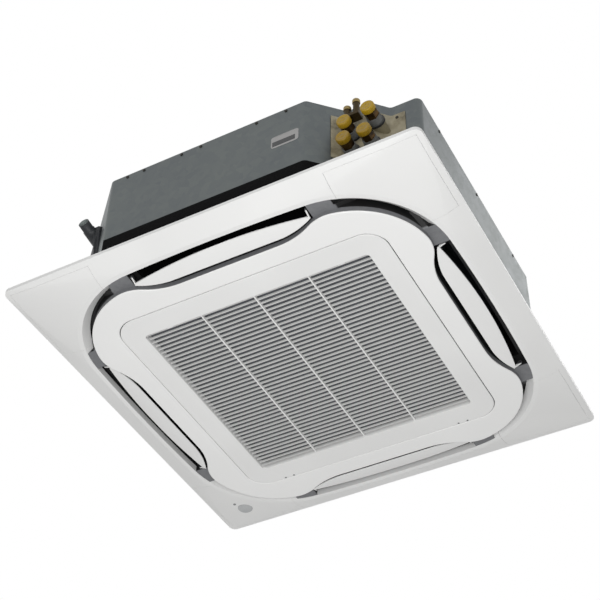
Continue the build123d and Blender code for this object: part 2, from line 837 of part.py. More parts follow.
# The flap and its drive are made on the +X side and turned to the other three.
with BuildPart() as flap_blank:
    with BuildSketch(side_plane(flap_inner_end_along)):
        with BuildLine():
            mid_across = (flap_inner_across + flap_outer_across) / 2
            mid_level = -(flap_inner_drop + flap_outer_drop) / 2 - flap_camber
            ThreePointArc((flap_inner_across, -flap_inner_drop), (mid_across, mid_level),
                          (flap_outer_across, -flap_outer_drop))
            Line((flap_outer_across, -flap_outer_drop), (flap_outer_across, flap_thickness - flap_outer_drop))
            ThreePointArc((flap_outer_across, flap_thickness - flap_outer_drop),
                          (mid_across, mid_level + flap_thickness),
                          (flap_inner_across, flap_thickness - flap_inner_drop))
            Line((flap_inner_across, flap_thickness - flap_inner_drop), (flap_inner_across, -flap_inner_drop))
        make_face()
        fillet(vertices(), flap_edge_radius)
    extrude(amount=2 * flap_inner_end_along)
    with BuildSketch(level(-face_drop)):
        with BuildLine():
            Line((flap_inner_across, -flap_inner_straight), (flap_inner_across, flap_inner_straight))
            for end in (-1, 1):
                TangentArc((flap_inner_across, end * flap_inner_straight),
                           (flap_inner_end_across, end * flap_inner_end_along), tangent=(0, end))
                Line((flap_inner_end_across, end * flap_inner_end_along),
                     (flap_outer_end_across, end * flap_outer_end_along))
            ThreePointArc((flap_outer_end_across, -flap_outer_end_along), (flap_outer_across, 0),
                          (flap_outer_end_across, flap_outer_end_along))
        make_face()
    extrude(amount=face_drop, mode=Mode.INTERSECT)
    # arms at both ends, the idle pin and the bore for the drive
    for start in (flap_arm_face, flap_arm_thickness - flap_arm_face):
        with BuildSketch(side_plane(start)):
            with Locations((pivot_across, -pivot_drop)):
                Circle(flap_arm_radius)
            arm_foot = flap_inner_end_across + flap_edge_radius + flap_thickness / 2
            foot_rise = (arm_foot - flap_inner_across) * (flap_inner_drop - flap_outer_drop)
            foot_level = foot_rise / (flap_outer_across - flap_inner_across) - flap_inner_drop
            with Locations((arm_foot, foot_level + flap_thickness / 2)):
                Circle(flap_thickness / 2)
            make_hull()
        extrude(amount=flap_arm_thickness)
    pin_end = bridge_start + pivot_pin_length
    with Locations((pivot_across, -(flap_arm_face + pin_end) / 2, ceiling - pivot_drop)):
        Cylinder(pivot_radius, pin_end - flap_arm_face, rotation=(90, 0, 0))
    with Locations((pivot_across, flap_arm_face, ceiling - pivot_drop)):
        Cylinder(drive_tip_radius + shaft_play, 2 * flap_arm_thickness, rotation=(90, 0, 0),
                 mode=Mode.SUBTRACT)

with BuildPart() as drive_blank:
    with BuildSketch(side_plane(motor_start - motor_play)):
        with Locations((pivot_across, -pivot_drop)):
            Circle(pivot_radius)
    extrude(amount=motor_start - motor_play - flap_arm_face)
    with BuildSketch(side_plane(motor_start + drive_tip_length)):
        with Locations((pivot_across, -pivot_drop)):
            Circle(drive_tip_radius)
    extrude(amount=motor_start + drive_tip_length - flap_arm_face + flap_arm_thickness)

for quarter, side in enumerate(("right", "rear", "left", "front")):
    with BuildPart() as flap:
        add(flap_blank.part, rotation=(0, 0, 90 * quarter))
    save(flap, f"flap_{side}")
    with BuildPart() as flap_drive:
        add(drive_blank.part, rotation=(0, 0, 90 * quarter))
    save(flap_drive, f"flap_drive_{side}")

with BuildPart() as flap_motors:
    with PolarLocations(0, 4):
        with Locations((motor_across, (motor_start + motor_end) / 2, ceiling - motor_drop)):
            Cylinder(motor_radius, motor_length, rotation=(90, 0, 0))
        with Locations((pivot_across, motor_start, ceiling - pivot_drop)):
            Cylinder(drive_tip_radius + pivot_play, 2 * (drive_tip_length + motor_play), rotation=(90, 0, 0),
                     mode=Mode.SUBTRACT)
save(flap_motors, "flap_motors")

with BuildPart() as panel_screws:
    with GridLocations(2 * panel_screw_place, 2 * panel_screw_place, 2, 2):
        with Locations((0, 0, ceiling - core_flange)):
            Cylinder(panel_screw_radius, panel_screw_head, align=(Align.CENTER, Align.CENTER, Align.MAX))
            Cylinder(panel_screw_shank, core_flange + panel_screw_length,
                     align=(Align.CENTER, Align.CENTER, Align.MIN))
save(panel_screws, "panel_screws")

with BuildPart() as panel_gasket:
    with BuildSketch(level(0)):
        add(cabinet_outline(-gasket_setback))
        add(cabinet_outline(-gasket_setback - gasket_width), mode=Mode.SUBTRACT)
    extrude(amount=cabinet_lift)
save(panel_gasket, "panel_gasket")

# ---------------------------------------------------------------- cabinet
bracket_screws = ((-bracket_screw_spacing / 2, -bracket_screw_fall),
                  (bracket_screw_spacing / 2, -bracket_screw_fall))
cut_corners = ((1, 1), (-1, 1), (-1, -1))
bracket_planes = [chamfer_plane(hanger_height, hanger_slide, 0, sx, sy) for sx, sy in cut_corners]
bracket_planes.append(front_plane(hanger_spacing_x / 2, hanger_height, pipe_corner_inner_y))
edge_planes = [front_plane(x, edge_screw_height, cabinet_half) for x in front_screw_places]
edge_planes += [rear_plane(x, edge_screw_height, cabinet_half) for x in front_screw_places]
edge_planes += [right_plane(y, edge_screw_height, cabinet_half) for y in side_screw_places]
edge_planes += [right_plane(y, edge_screw_height, -cabinet_half) for y in side_screw_places]
cover_screw_plane = front_plane(pipe_cover_screw_x, pipe_cover_screw_height, pipe_corner_inner_y)
drain_plane = chamfer_plane(drain_height, drain_slide, 0, -1, -1)
gland_plane = rear_plane(gland_x, gland_height, cabinet_half)

with BuildPart() as cabinet_shell:
    with BuildSketch(level(cabinet_lift)):
        add(cabinet_outline())
        add(cabinet_outline(-sheet), mode=Mode.SUBTRACT)
    extrude(amount=shell_top - cabinet_lift)
    with BuildSketch(front_plane((pipe_window_left + pipe_window_right) / 2,
                                 (pipe_window_bottom + pipe_window_top) / 2, cabinet_half)):
        Rectangle(pipe_window_right - pipe_window_left, pipe_window_top - pipe_window_bottom)
    extrude(amount=-(cabinet_half - header_across), mode=Mode.SUBTRACT)
    for plane in bracket_planes:
        with BuildSketch(plane):
            with Locations(*bracket_screws):
                Circle(bracket_screw_shank + screw_gap)
        extrude(amount=sheet * 2, both=True, mode=Mode.SUBTRACT)
    for plane in edge_planes:
        with BuildSketch(plane):
            Circle(edge_screw_shank + screw_gap)
        extrude(amount=sheet * 2, both=True, mode=Mode.SUBTRACT)
    with BuildSketch(cover_screw_plane):
        Circle(edge_screw_shank + screw_gap)
    with BuildSketch(drain_plane):
        Circle(hose_radius + fit_gap)
    with BuildSketch(gland_plane):
        Circle(gland_radius + fit_gap)
    extrude(amount=sheet * 2, both=True, mode=Mode.SUBTRACT)
save(cabinet_shell, "cabinet_shell")

with BuildPart() as top_plate:
    with BuildSketch(level(shell_top)):
        add(cabinet_outline())
    extrude(amount=top_sheet)
    with BuildSketch(level(shell_top - top_rim_height)):
        add(cabinet_outline(-sheet - fit_gap))
        add(cabinet_outline(-2 * sheet - fit_gap), mode=Mode.SUBTRACT)
    extrude(amount=top_rim_height)
    for plane in edge_planes:
        with BuildSketch(plane):
            Circle(edge_screw_shank + screw_gap)
        extrude(amount=sheet * 3, both=True, mode=Mode.SUBTRACT)
save(top_plate, "top_plate")

with BuildPart() as hanger_brackets:
    for plane in bracket_planes:
        with BuildSketch(plane):
            with Locations((0, hanger_plate / 2)):
                Rectangle(bracket_width, hanger_plate, align=(Align.CENTER, Align.MAX))
        extrude(amount=bracket_reach)
        with BuildSketch(plane):
            with Locations((0, hanger_plate / 2)):
                Rectangle(bracket_width, bracket_web, align=(Align.CENTER, Align.MAX))
            with Locations(*bracket_screws):
                Circle(bracket_screw_shank + screw_gap, mode=Mode.SUBTRACT)
        extrude(amount=hanger_plate)
    with BuildSketch(level(hanger_height)):
        with GridLocations(hanger_spacing_x, hanger_spacing_y, 2, 2):
            SlotOverall(hanger_slot_length, hanger_slot_width)
    extrude(amount=hanger_plate, both=True, mode=Mode.SUBTRACT)
save(hanger_brackets, "hanger_brackets")

with BuildPart() as cabinet_screws:
    for plane in bracket_planes:
        for place in bracket_screws:
            with BuildSketch(plane.offset(hanger_plate)):
                with Locations(place):
                    Circle(bracket_screw_radius)
            extrude(amount=bracket_screw_head)
            with BuildSketch(plane.offset(hanger_plate)):
                with Locations(place):
                    Circle(bracket_screw_shank)
            extrude(amount=-bracket_screw_length)
    for plane, seat in [(edge, 0) for edge in edge_planes] + [(cover_screw_plane, pipe_cover_sheet)]:
        outward = -1 if plane.z_dir.X > 0 and plane.origin.X < 0 else 1
        with BuildSketch(plane.offset(outward * seat)):
            Circle(edge_screw_radius)
        extrude(amount=outward * edge_screw_head)
        with BuildSketch(plane.offset(outward * seat)):
            Circle(edge_screw_shank)
        extrude(amount=-outward * edge_screw_length)
save(cabinet_screws, "cabinet_screws")

with BuildPart() as lower_band:
    with BuildSketch(level(cabinet_lift)):
        add(cabinet_outline(band_thickness))
        add(cabinet_outline(), mode=Mode.SUBTRACT)
        with BuildSketch(mode=Mode.PRIVATE) as band_sides:
            straight = cabinet_cut - band_end_gap
            front_end = pipe_corner_inner_x - band_end_gap
            with Locations(((front_end - straight) / 2, -cabinet_half)):
                Rectangle(front_end + straight, 2 * (cabinet_half - header_across))
            with Locations((cabinet_half, (straight - header_across) / 2)):
                Rectangle(3 * band_thickness, straight + header_across)
            with Locations((0, cabinet_half)):
                Rectangle(2 * straight, 3 * band_thickness)
            with Locations((-cabinet_half, 0)):
                Rectangle(3 * band_thickness, 2 * straight)
        add(band_sides.sketch, mode=Mode.INTERSECT)
    extrude(amount=band_height - cabinet_lift)
save(lower_band, "lower_band")

with BuildPart() as rating_plate:
    with BuildSketch(front_plane(plate_x, plate_height, cabinet_half)):
        RectangleRounded(plate_width, plate_depth, plate_thickness)
    extrude(amount=plate_thickness)
save(rating_plate, "rating_plate")

connections = {"cooling_in": cooling_in, "cooling_out": cooling_out,
               "heating_in": heating_in, "heating_out": heating_out}

with BuildPart() as pipe_cover:
    with BuildSketch(level(pipe_cover_bottom)):
        add(cabinet_outline(pipe_cover_sheet))
        add(cabinet_outline(), mode=Mode.SUBTRACT)
        with Locations(((pipe_cover_left + pipe_cover_right) / 2, -cabinet_half)):
            Rectangle(pipe_cover_right - pipe_cover_left, 2 * (cabinet_half - header_across),
                      mode=Mode.INTERSECT)
    extrude(amount=pipe_cover_top - pipe_cover_bottom)
    for x, height in connections.values():
        with BuildSketch(front_plane(x, height, connection_face)):
            Circle(pipe_radius + pipe_hole_gap)
        extrude(amount=-(connection_face - header_across), mode=Mode.SUBTRACT)
    with BuildSketch(cover_screw_plane):
        Circle(edge_screw_shank + screw_gap)
    extrude(amount=2 * pipe_cover_sheet, both=True, mode=Mode.SUBTRACT)
save(pipe_cover, "pipe_cover")

with BuildPart() as pipe_collars:
    for x, height in connections.values():
        with BuildSketch(front_plane(x, height, hex_back - fit_gap)):
            Circle(collar_radius)
            Circle(pipe_radius + fit_gap, mode=Mode.SUBTRACT)
        extrude(amount=-(hex_back - header_across))
        with BuildSketch(front_plane(x, height, collar_ring_across)):
            Circle(collar_ring_radius)
            Circle(pipe_radius + fit_gap, mode=Mode.SUBTRACT)
        extrude(amount=-collar_ring_length)
    with BuildSketch(level(pipe_cover_bottom - collar_ring_radius)):
        add(cabinet_outline(pipe_cover_sheet + fit_gap))
    extrude(amount=pipe_cover_top - pipe_cover_bottom + 2 * collar_ring_radius, mode=Mode.SUBTRACT)
save(pipe_collars, "pipe_collars")

# Each water circuit: an inlet header on one coil end and an outlet header on the other.
header_levels = {"cooling": (header_middle + header_spacing / 2, header_top),
                 "heating": (header_low, header_middle - header_spacing / 2)}
coil_face = coil_end + coil_plate
for circuit, (low, high) in header_levels.items():
    with BuildPart() as circuit_pipes:
        feeder_step = (high - low) / feeder_count
        feeder_levels = [low + feeder_step * (turn + 0.5) for turn in range(feeder_count)]
        inlet_x, inlet_height = connections[f"{circuit}_in"]
        outlet_x, outlet_height = connections[f"{circuit}_out"]
        for header_x in (inlet_x, outlet_x - header_shift):
            with BuildSketch(level(low)):
                with Locations((header_x, -header_across)):
                    Circle(header_radius)
            extrude(amount=high - low)
        for feeder_level in feeder_levels:
            with Locations(((inlet_x + coil_face) / 2, -header_across, ceiling + feeder_level)):
                Cylinder(feeder_radius, inlet_x - coil_face, rotation=(0, 90, 0))
            feeder_x = outlet_x - header_shift
            with Locations((feeder_x, -(header_across + coil_face) / 2, ceiling + feeder_level)):
                Cylinder(feeder_radius, header_across - coil_face, rotation=(90, 0, 0))
        for x, height in ((inlet_x, inlet_height), (outlet_x, outlet_height)):
            with BuildSketch(front_plane(x, height, header_across)):
                Circle(pipe_radius)
            extrude(amount=hex_back - header_across)
            with BuildSketch(front_plane(x, height, hex_back)):
                RegularPolygon(hex_radius, 6)
            extrude(amount=hex_length)
            with BuildSketch(front_plane(x, height, spigot_back)):
                Circle(spigot_radius)
            extrude(amount=spigot_length)
            with BuildSketch(front_plane(x, height, cap_front)):
                Circle(pipe_radius - pipe_wall)
            extrude(amount=header_across - cap_front, mode=Mode.SUBTRACT)
    save(circuit_pipes, f"{circuit}_pipes")

for connection, (x, height) in connections.items():
    with BuildPart() as pipe_cap:
        with BuildSketch(front_plane(x, height, spigot_back + fit_gap)):
            Circle(cap_radius)
        extrude(amount=connection_face - spigot_back - fit_gap)
        fillet(pipe_cap.edges().group_by(Axis.Y)[0], cap_edge_radius)
        with BuildSketch(front_plane(x, height, spigot_back)):
            Circle(spigot_radius + cap_gap)
        extrude(amount=spigot_length + cap_gap, mode=Mode.SUBTRACT)
    save(pipe_cap, f"pipe_cap_{connection}")

# Two air vents stand on one block that sits on the hexagon of the cooling inlet.
hex_flat = hex_radius * cos(radians(30))
block_left = cooling_in[0] - vent_block_half
block_right = vent_places["heating"][0] + vent_block_half
block_top = vent_block_bottom + vent_block_thickness
with BuildPart() as vent_valves:
    with BuildSketch(level(vent_block_bottom)):
        with Locations(((block_left + block_right) / 2, -(vent_across + vent_block_half + hex_back) / 2)):
            Rectangle(block_right - block_left, vent_across + vent_block_half - hex_back)
    extrude(amount=vent_block_thickness)
    with BuildSketch(level(vent_block_bottom)):
        with Locations((cooling_in[0], -(hex_back + spigot_back) / 2)):
            Rectangle(2 * vent_block_half, hex_length - 2 * fit_gap)
    extrude(amount=cooling_in[1] + hex_flat - vent_block_bottom)
    for x, vent_top in vent_places.values():
        with BuildSketch(level(block_top)):
            with Locations((x, -vent_across)):
                Circle(vent_body_radius)
        extrude(amount=vent_top - block_top)
        with BuildSketch(level(vent_top)):
            with Locations((x, -vent_across)):
                Circle(vent_stem_radius + pivot_play)
        extrude(amount=-vent_stem_length - fit_gap, mode=Mode.SUBTRACT)
save(vent_valves, "vent_valves")

for circuit, (x, vent_top) in vent_places.items():
    with BuildPart() as vent_screw:
        with BuildSketch(level(vent_top + fit_gap)):
            with Locations((x, -vent_across)):
                Circle(vent_screw_radius)
        extrude(amount=vent_screw_length)
        with BuildSketch(level(vent_top + fit_gap + vent_screw_length)):
            with Locations((x, -vent_across)):
                Rectangle(2 * vent_screw_radius, vent_screw_groove)
        extrude(amount=-vent_screw_groove, mode=Mode.SUBTRACT)
        with BuildSketch(level(vent_top + fit_gap)):
            with Locations((x, -vent_across)):
                Circle(vent_stem_radius)
        extrude(amount=-vent_stem_length)
    save(vent_screw, f"vent_screw_{circuit}")

# ---------------------------------------------------------------- inside the cabinet
sump_middle = (sump_inner + sump_outer) / 2 - chamfer_across
sump_slide = (sump_slide_low + sump_slide_high) / 2
with BuildPart() as drain_pan:
    with BuildSketch(level(cabinet_lift)):
        add(cabinet_outline(-sheet - pan_clearance))
        with PolarLocations(0, 4):
            with Locations(((duct_inner + duct_outer) / 2, 0)):
                RectangleRounded(duct_outer - duct_inner, 2 * duct_half_length, duct_radius,
                                 mode=Mode.SUBTRACT)
        RectangleRounded(2 * pan_inner_half, 2 * pan_inner_half, pan_inner_radius, mode=Mode.SUBTRACT)
        with GridLocations(2 * panel_screw_place, 2 * panel_screw_place, 2, 2):
            Circle(panel_screw_shank + screw_gap, mode=Mode.SUBTRACT)
    extrude(amount=pan_top - cabinet_lift)
    with BuildSketch(level(cabinet_lift)):
        RectangleRounded(2 * (bell_flange_half + fit_gap), 2 * (bell_flange_half + fit_gap), pan_inner_radius)
    extrude(amount=pan_step_height - cabinet_lift, mode=Mode.SUBTRACT)
    with BuildSketch(level(coil_foot)):
        add(square_ring(coil_half + pan_channel_gap, coil_depth + 2 * pan_channel_gap,
                        coil_radius + pan_channel_gap))
    extrude(amount=pan_top - coil_foot, mode=Mode.SUBTRACT)
    with BuildSketch(chamfer_plane(coil_foot, sump_slide, sump_middle, -1, -1)):
        Rectangle(sump_slide_high - sump_slide_low, pan_top - coil_foot, align=(Align.CENTER, Align.MIN))
    extrude(amount=(sump_outer - sump_inner) / 2, both=True, mode=Mode.SUBTRACT)
save(drain_pan, "drain_pan")

with BuildPart() as bell_mouth:
    flare = bell_mouth_radius - bell_throat
    flare_height = bell_flange_height + flare
    with BuildSketch(side_plane(0)):
        with BuildLine():
            CenterArc((bell_mouth_radius, flare_height), flare, 180, 90)
            Line((bell_mouth_radius, bell_flange_height),
                 (bell_mouth_radius, bell_flange_height + bell_sheet))
            CenterArc((bell_mouth_radius, flare_height), flare - bell_sheet, 180, 90)
            Line((bell_throat + bell_sheet, flare_height), (bell_throat + bell_sheet, bell_top))
            Line((bell_throat + bell_sheet, bell_top), (bell_throat, bell_top))
            Line((bell_throat, bell_top), (bell_throat, flare_height))
        make_face()
    revolve(axis=Axis.Z)
    with BuildSketch(level(bell_flange_height)):
        RectangleRounded(2 * bell_flange_half, 2 * bell_flange_half, pan_inner_radius)
        Circle(bell_mouth_radius, mode=Mode.SUBTRACT)
        with Locations((0, (box_inner + box_outer) / 2)):
            Rectangle(2 * (box_half_length + box_clearance), box_outer - box_inner + 2 * box_clearance,
                      mode=Mode.SUBTRACT)
    extrude(amount=bell_sheet)
save(bell_mouth, "bell_mouth")

with BuildPart() as coil_fins:
    with BuildSketch(level(coil_foot)):
        add(square_ring(coil_half, coil_depth, coil_radius))
        with Locations((coil_end, -coil_end)):
            Rectangle(coil_half, coil_half, align=(Align.MIN, Align.MAX), mode=Mode.SUBTRACT)
    extrude(amount=coil_top - coil_foot)
save(coil_fins, "coil_fins")

with BuildPart() as coil_end_plates:
    plate_middle = coil_half - coil_depth / 2
    plate_span = coil_depth + 2 * coil_plate_lip - 2 * fit_gap
    with BuildSketch(level(coil_foot)):
        with Locations((coil_end + coil_plate / 2, -plate_middle)):
            Rectangle(coil_plate, plate_span)
        with Locations((plate_middle, -coil_end - coil_plate / 2)):
            Rectangle(plate_span, coil_plate)
    extrude(amount=coil_top - coil_foot)
save(coil_end_plates, "coil_end_plates")

# Blades: swept strips, cut to the space between the shroud and the back plate.
with BuildPart() as blade_ring:
    with BuildSketch(level(fan_eye_height)):
        blade_end = fan_radius - fan_skin
        sweep_x = blade_end * cos(radians(blade_sweep))
        sweep_y = blade_end * sin(radians(blade_sweep))
        middle_x = (blade_start + sweep_x) / 2 + blade_bow
        middle_y = sweep_y / 2
        with PolarLocations(0, blade_count):
            with BuildLine():
                ThreePointArc((blade_start, 0), (middle_x, middle_y), (sweep_x, sweep_y))
                Line((sweep_x, sweep_y), (sweep_x - blade_thickness, sweep_y))
                ThreePointArc((sweep_x - blade_thickness, sweep_y), (middle_x - blade_thickness, middle_y),
                              (blade_start - blade_thickness, 0))
                Line((blade_start - blade_thickness, 0), (blade_start, 0))
            make_face()
    extrude(amount=fan_back_height - fan_eye_height - fan_skin / 2)
    with BuildSketch(side_plane(0)):
        half_skin = fan_skin / 2
        with BuildLine():
            ThreePointArc((fan_eye - half_skin, fan_eye_height + half_skin),
                          (fan_shroud_bend[0] - half_skin, fan_shroud_bend[1] + half_skin),
                          (fan_radius - half_skin, fan_shroud_height + half_skin))
            Line((fan_radius - half_skin, fan_shroud_height + half_skin),
                 (fan_radius - half_skin, fan_back_height))
            Line((fan_radius - half_skin, fan_back_height), (fan_eye - half_skin, fan_back_height))
            Line((fan_eye - half_skin, fan_back_height), (fan_eye - half_skin, fan_eye_height + half_skin))
        make_face()
    revolve(axis=Axis.Z, mode=Mode.INTERSECT)

with BuildPart() as turbo_fan:
    with BuildSketch(side_plane(0)):
        with BuildLine():
            ThreePointArc((fan_eye, fan_eye_height), fan_shroud_bend, (fan_radius, fan_shroud_height))
            Line((fan_radius, fan_shroud_height), (fan_radius - fan_skin, fan_shroud_height + fan_skin))
            ThreePointArc((fan_radius - fan_skin, fan_shroud_height + fan_skin),
                          (fan_shroud_bend[0] - fan_skin, fan_shroud_bend[1] + fan_skin),
                          (fan_eye - fan_skin, fan_eye_height + fan_skin))
            Line((fan_eye - fan_skin, fan_eye_height + fan_skin), (fan_eye, fan_eye_height))
        make_face()
    with BuildSketch(side_plane(0)):
        hub_top = fan_hub_height + fan_hub_length
        Polygon((shaft_radius + shaft_play, fan_hub_height), (fan_hub_radius, fan_hub_height),
                (fan_hub_radius, hub_top - fan_skin), (fan_cone_foot, hub_top - fan_skin),
                (fan_cone_radius, fan_back_height - fan_skin), (fan_radius, fan_back_height - fan_skin),
                (fan_radius, fan_back_height), (fan_cone_radius - fan_skin, fan_back_height),
                (fan_cone_foot - fan_skin, hub_top), (shaft_radius + shaft_play, hub_top), align=None)
    revolve(axis=Axis.Z)
    add(blade_ring.part)
save(turbo_fan, "turbo_fan")

with BuildPart() as motor_shaft:
    with BuildSketch(level(shaft_tip)):
        Circle(shaft_radius)
    extrude(amount=shaft_top - shaft_tip)
save(motor_shaft, "motor_shaft")

with BuildPart() as fan_nut:
    with BuildSketch(level(fan_hub_height)):
        RegularPolygon(nut_radius, 6)
        Circle(shaft_radius + shaft_play, mode=Mode.SUBTRACT)
    extrude(amount=-nut_length)
save(fan_nut, "fan_nut")

with BuildPart() as fan_motor:
    with BuildSketch(level(fan_motor_bottom)):
        Circle(fan_motor_radius)
    extrude(amount=fan_motor_top - fan_motor_bottom)
    fillet(fan_motor.edges().group_by(Axis.Z)[0], fan_motor_edge)
    with BuildSketch(level(fan_motor_top)):
        Circle(motor_flange_radius)
    extrude(amount=-motor_flange)
    with BuildSketch(level(fan_motor_bottom)):
        Circle(shaft_radius + shaft_play)
    extrude(amount=shaft_top - fan_motor_bottom + fit_gap, mode=Mode.SUBTRACT)
save(fan_motor, "fan_motor")

with BuildPart() as motor_mounts:
    with BuildSketch(level(fan_motor_top)):
        with PolarLocations(mount_circle, 4, start_angle=45):
            Circle(mount_waist)
    extrude(amount=shell_top - fan_motor_top)
    for foot, way in ((fan_motor_top, 1), (shell_top, -1)):
        with BuildSketch(level(foot)):
            with PolarLocations(mount_circle, 4, start_angle=45):
                Circle(mount_radius)
        extrude(amount=way * motor_flange)
save(motor_mounts, "motor_mounts")

# drain pump, float switch, hose and outlet share the cut corner at -X -Y
with BuildPart() as drain_pump:
    pump_plane = chamfer_plane(coil_foot, drain_slide, pump_diagonal - chamfer_across, -1, -1)
    pump_x, pump_y = pump_plane.origin.X, pump_plane.origin.Y
    for foot, radius, height in ((coil_foot, pump_radius, pump_top - coil_foot - pump_cap_height),
                                 (pump_top - pump_cap_height, pump_cap_radius, pump_cap_height)):
        with BuildSketch(level(foot)):
            with Locations((pump_x, pump_y)):
                Circle(radius)
        extrude(amount=height)
save(drain_pump, "drain_pump")

with BuildPart() as float_switch:
    float_plane = chamfer_plane(coil_foot, float_slide, float_diagonal - chamfer_across, -1, -1)
    float_x, float_y = float_plane.origin.X, float_plane.origin.Y
    for radius, height in ((float_foot_radius, float_foot), (float_stem_radius, float_stem_top - coil_foot)):
        with BuildSketch(level(coil_foot)):
            with Locations((float_x, float_y)):
                Circle(radius)
        extrude(amount=height)
save(float_switch, "float_switch")

with BuildPart() as float_ring:
    with BuildSketch(level(coil_foot + float_foot + fit_gap)):
        with Locations((float_x, float_y)):
            Circle(float_radius)
            Circle(float_stem_radius + float_play, mode=Mode.SUBTRACT)
    extrude(amount=float_height)
save(float_ring, "float")

with BuildPart() as drain_hose:
    hose_end = chamfer_plane(drain_height, drain_slide, -sheet - fit_gap - drain_spigot_length, -1, -1).origin
    with BuildLine() as hose_path:
        FilletPolyline((pump_x, pump_y, ceiling + pump_top), (pump_x, pump_y, ceiling + drain_height),
                       (hose_end.X, hose_end.Y, ceiling + drain_height), radius=hose_bend)
    with BuildSketch(Plane(origin=hose_path.line @ 0, z_dir=hose_path.line % 0)):
        Circle(hose_radius)
        Circle(hose_radius - hose_wall, mode=Mode.SUBTRACT)
    sweep()
save(drain_hose, "drain_hose")

with BuildPart() as drain_socket:
    with BuildSketch(chamfer_plane((drain_plate_bottom + drain_plate_top) / 2,
                                   (drain_plate_reach - drain_plate_back) / 2, 0, -1, -1)):
        RectangleRounded(drain_plate_reach + drain_plate_back, drain_plate_top - drain_plate_bottom,
                         drain_plate_corner)
    extrude(amount=drain_plate_thickness)
    tube_dir = (0, -cos(radians(drain_slope)), sin(radians(drain_slope)))
    tube_plane = Plane(origin=drain_plane.origin, x_dir=(1, 0, 0), z_dir=tube_dir)
    with BuildSketch(tube_plane.offset(-2 * drain_radius)):
        Circle(drain_radius)
    extrude(amount=drain_length + 2 * drain_radius)
    with BuildSketch(tube_plane.offset(-2 * drain_radius)):
        Circle(drain_collar_radius)
    extrude(amount=drain_collar_end + 2 * drain_radius)
    with Locations(Location(tube_plane.offset(drain_collar_end + drain_cone / 2))):
        Cone(drain_collar_radius, drain_radius, drain_cone)
    with BuildSketch(level(drain_plate_bottom)):
        add(cabinet_outline())
    extrude(amount=drain_plate_top - drain_plate_bottom, mode=Mode.SUBTRACT)
    # spigot that passes through the wall to the hose, then the bores of both
    spigot_reach = sheet + fit_gap + drain_spigot_length
    with BuildSketch(drain_plane):
        Circle(hose_radius)
    extrude(amount=-spigot_reach)
    with BuildSketch(drain_plane.offset(drain_plate_thickness / 2)):
        Circle(hose_radius - hose_wall)
    extrude(amount=-spigot_reach - drain_plate_thickness / 2, mode=Mode.SUBTRACT)
    with BuildSketch(tube_plane.offset(drain_plate_thickness / 2)):
        Circle(drain_radius - drain_wall)
    extrude(amount=drain_length, mode=Mode.SUBTRACT)
save(drain_socket, "drain_socket")

# control box
box_middle = (box_inner + box_outer) / 2
box_width = box_outer - box_inner
box_ceiling = box_height - box_sheet
with BuildPart() as control_box:
    with BuildSketch(level(-box_drop)):
        with Locations((0, box_middle)):
            Rectangle(2 * box_half_length, box_width)
    extrude(amount=box_height + box_drop)
    with BuildSketch(level(-box_drop)):
        with Locations((0, box_middle)):
            Rectangle(2 * (box_half_length - box_sheet), box_width - 2 * box_sheet)
    extrude(amount=box_ceiling + box_drop, mode=Mode.SUBTRACT)
    with BuildSketch(level(bell_flange_height - fit_gap)):
        with Locations((0, box_middle)):
            Rectangle(2 * (box_half_length + box_ear), box_ear_width)
            Rectangle(2 * box_half_length, box_ear_width, mode=Mode.SUBTRACT)
    extrude(amount=-box_sheet)
    post_x = box_half_length - box_sheet - board_margin - board_post_inset
    post_y = box_width / 2 - box_sheet - board_margin - board_post_inset / 2
    with BuildSketch(level(board_height + board_thickness)):
        with Locations((0, box_middle)):
            with GridLocations(2 * post_x, 2 * post_y, 2, 2):
                Circle(board_post_radius)
    extrude(amount=box_ceiling - board_height - board_thickness)
save(control_box, "control_box")

with BuildPart() as control_box_lid:
    with BuildSketch(level(-box_drop)):
        with Locations((0, box_middle)):
            Rectangle(2 * box_half_length, box_width)
    extrude(amount=-box_lid)
save(control_box_lid, "control_box_lid")

with BuildPart() as circuit_board:
    with BuildSketch(level(board_height)):
        with Locations((0, box_middle)):
            Rectangle(2 * (box_half_length - box_sheet - board_margin),
                      box_width - 2 * (box_sheet + board_margin))
    extrude(amount=board_thickness)
    for block_x, block_length, block_width, block_height in board_blocks:
        with BuildSketch(level(board_height)):
            with Locations((block_x, box_middle)):
                Rectangle(block_length, block_width)
        extrude(amount=-block_height)
save(circuit_board, "circuit_board")

with BuildPart() as cable_gland:
    with BuildSketch(gland_plane.offset(-sheet - gland_nut_length)):
        Circle(gland_radius)
    extrude(amount=gland_length + sheet + gland_nut_length)
    for seat, way in ((0, 1), (-sheet, -1)):
        with BuildSketch(gland_plane.offset(seat)):
            RegularPolygon(gland_nut_radius, 6)
        extrude(amount=way * gland_nut_length)
    with BuildSketch(gland_plane.offset(-sheet - gland_nut_length)):
        Circle(gland_bore)
    extrude(amount=gland_length + sheet + gland_nut_length, mode=Mode.SUBTRACT)
save(cable_gland, "cable_gland")
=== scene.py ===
"""Ceiling cassette air conditioner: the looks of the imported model, its light and its camera.

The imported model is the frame: metres, +Z up, the origin in the middle of the four hanger slots, and the
ceiling plane 130 mm below it. Lengths below are in metres unless a name says millimetres.
"""
import json
from math import cos, pi, radians, sin

import bmesh
import bpy
import numpy as np
from mathutils import Matrix, Vector


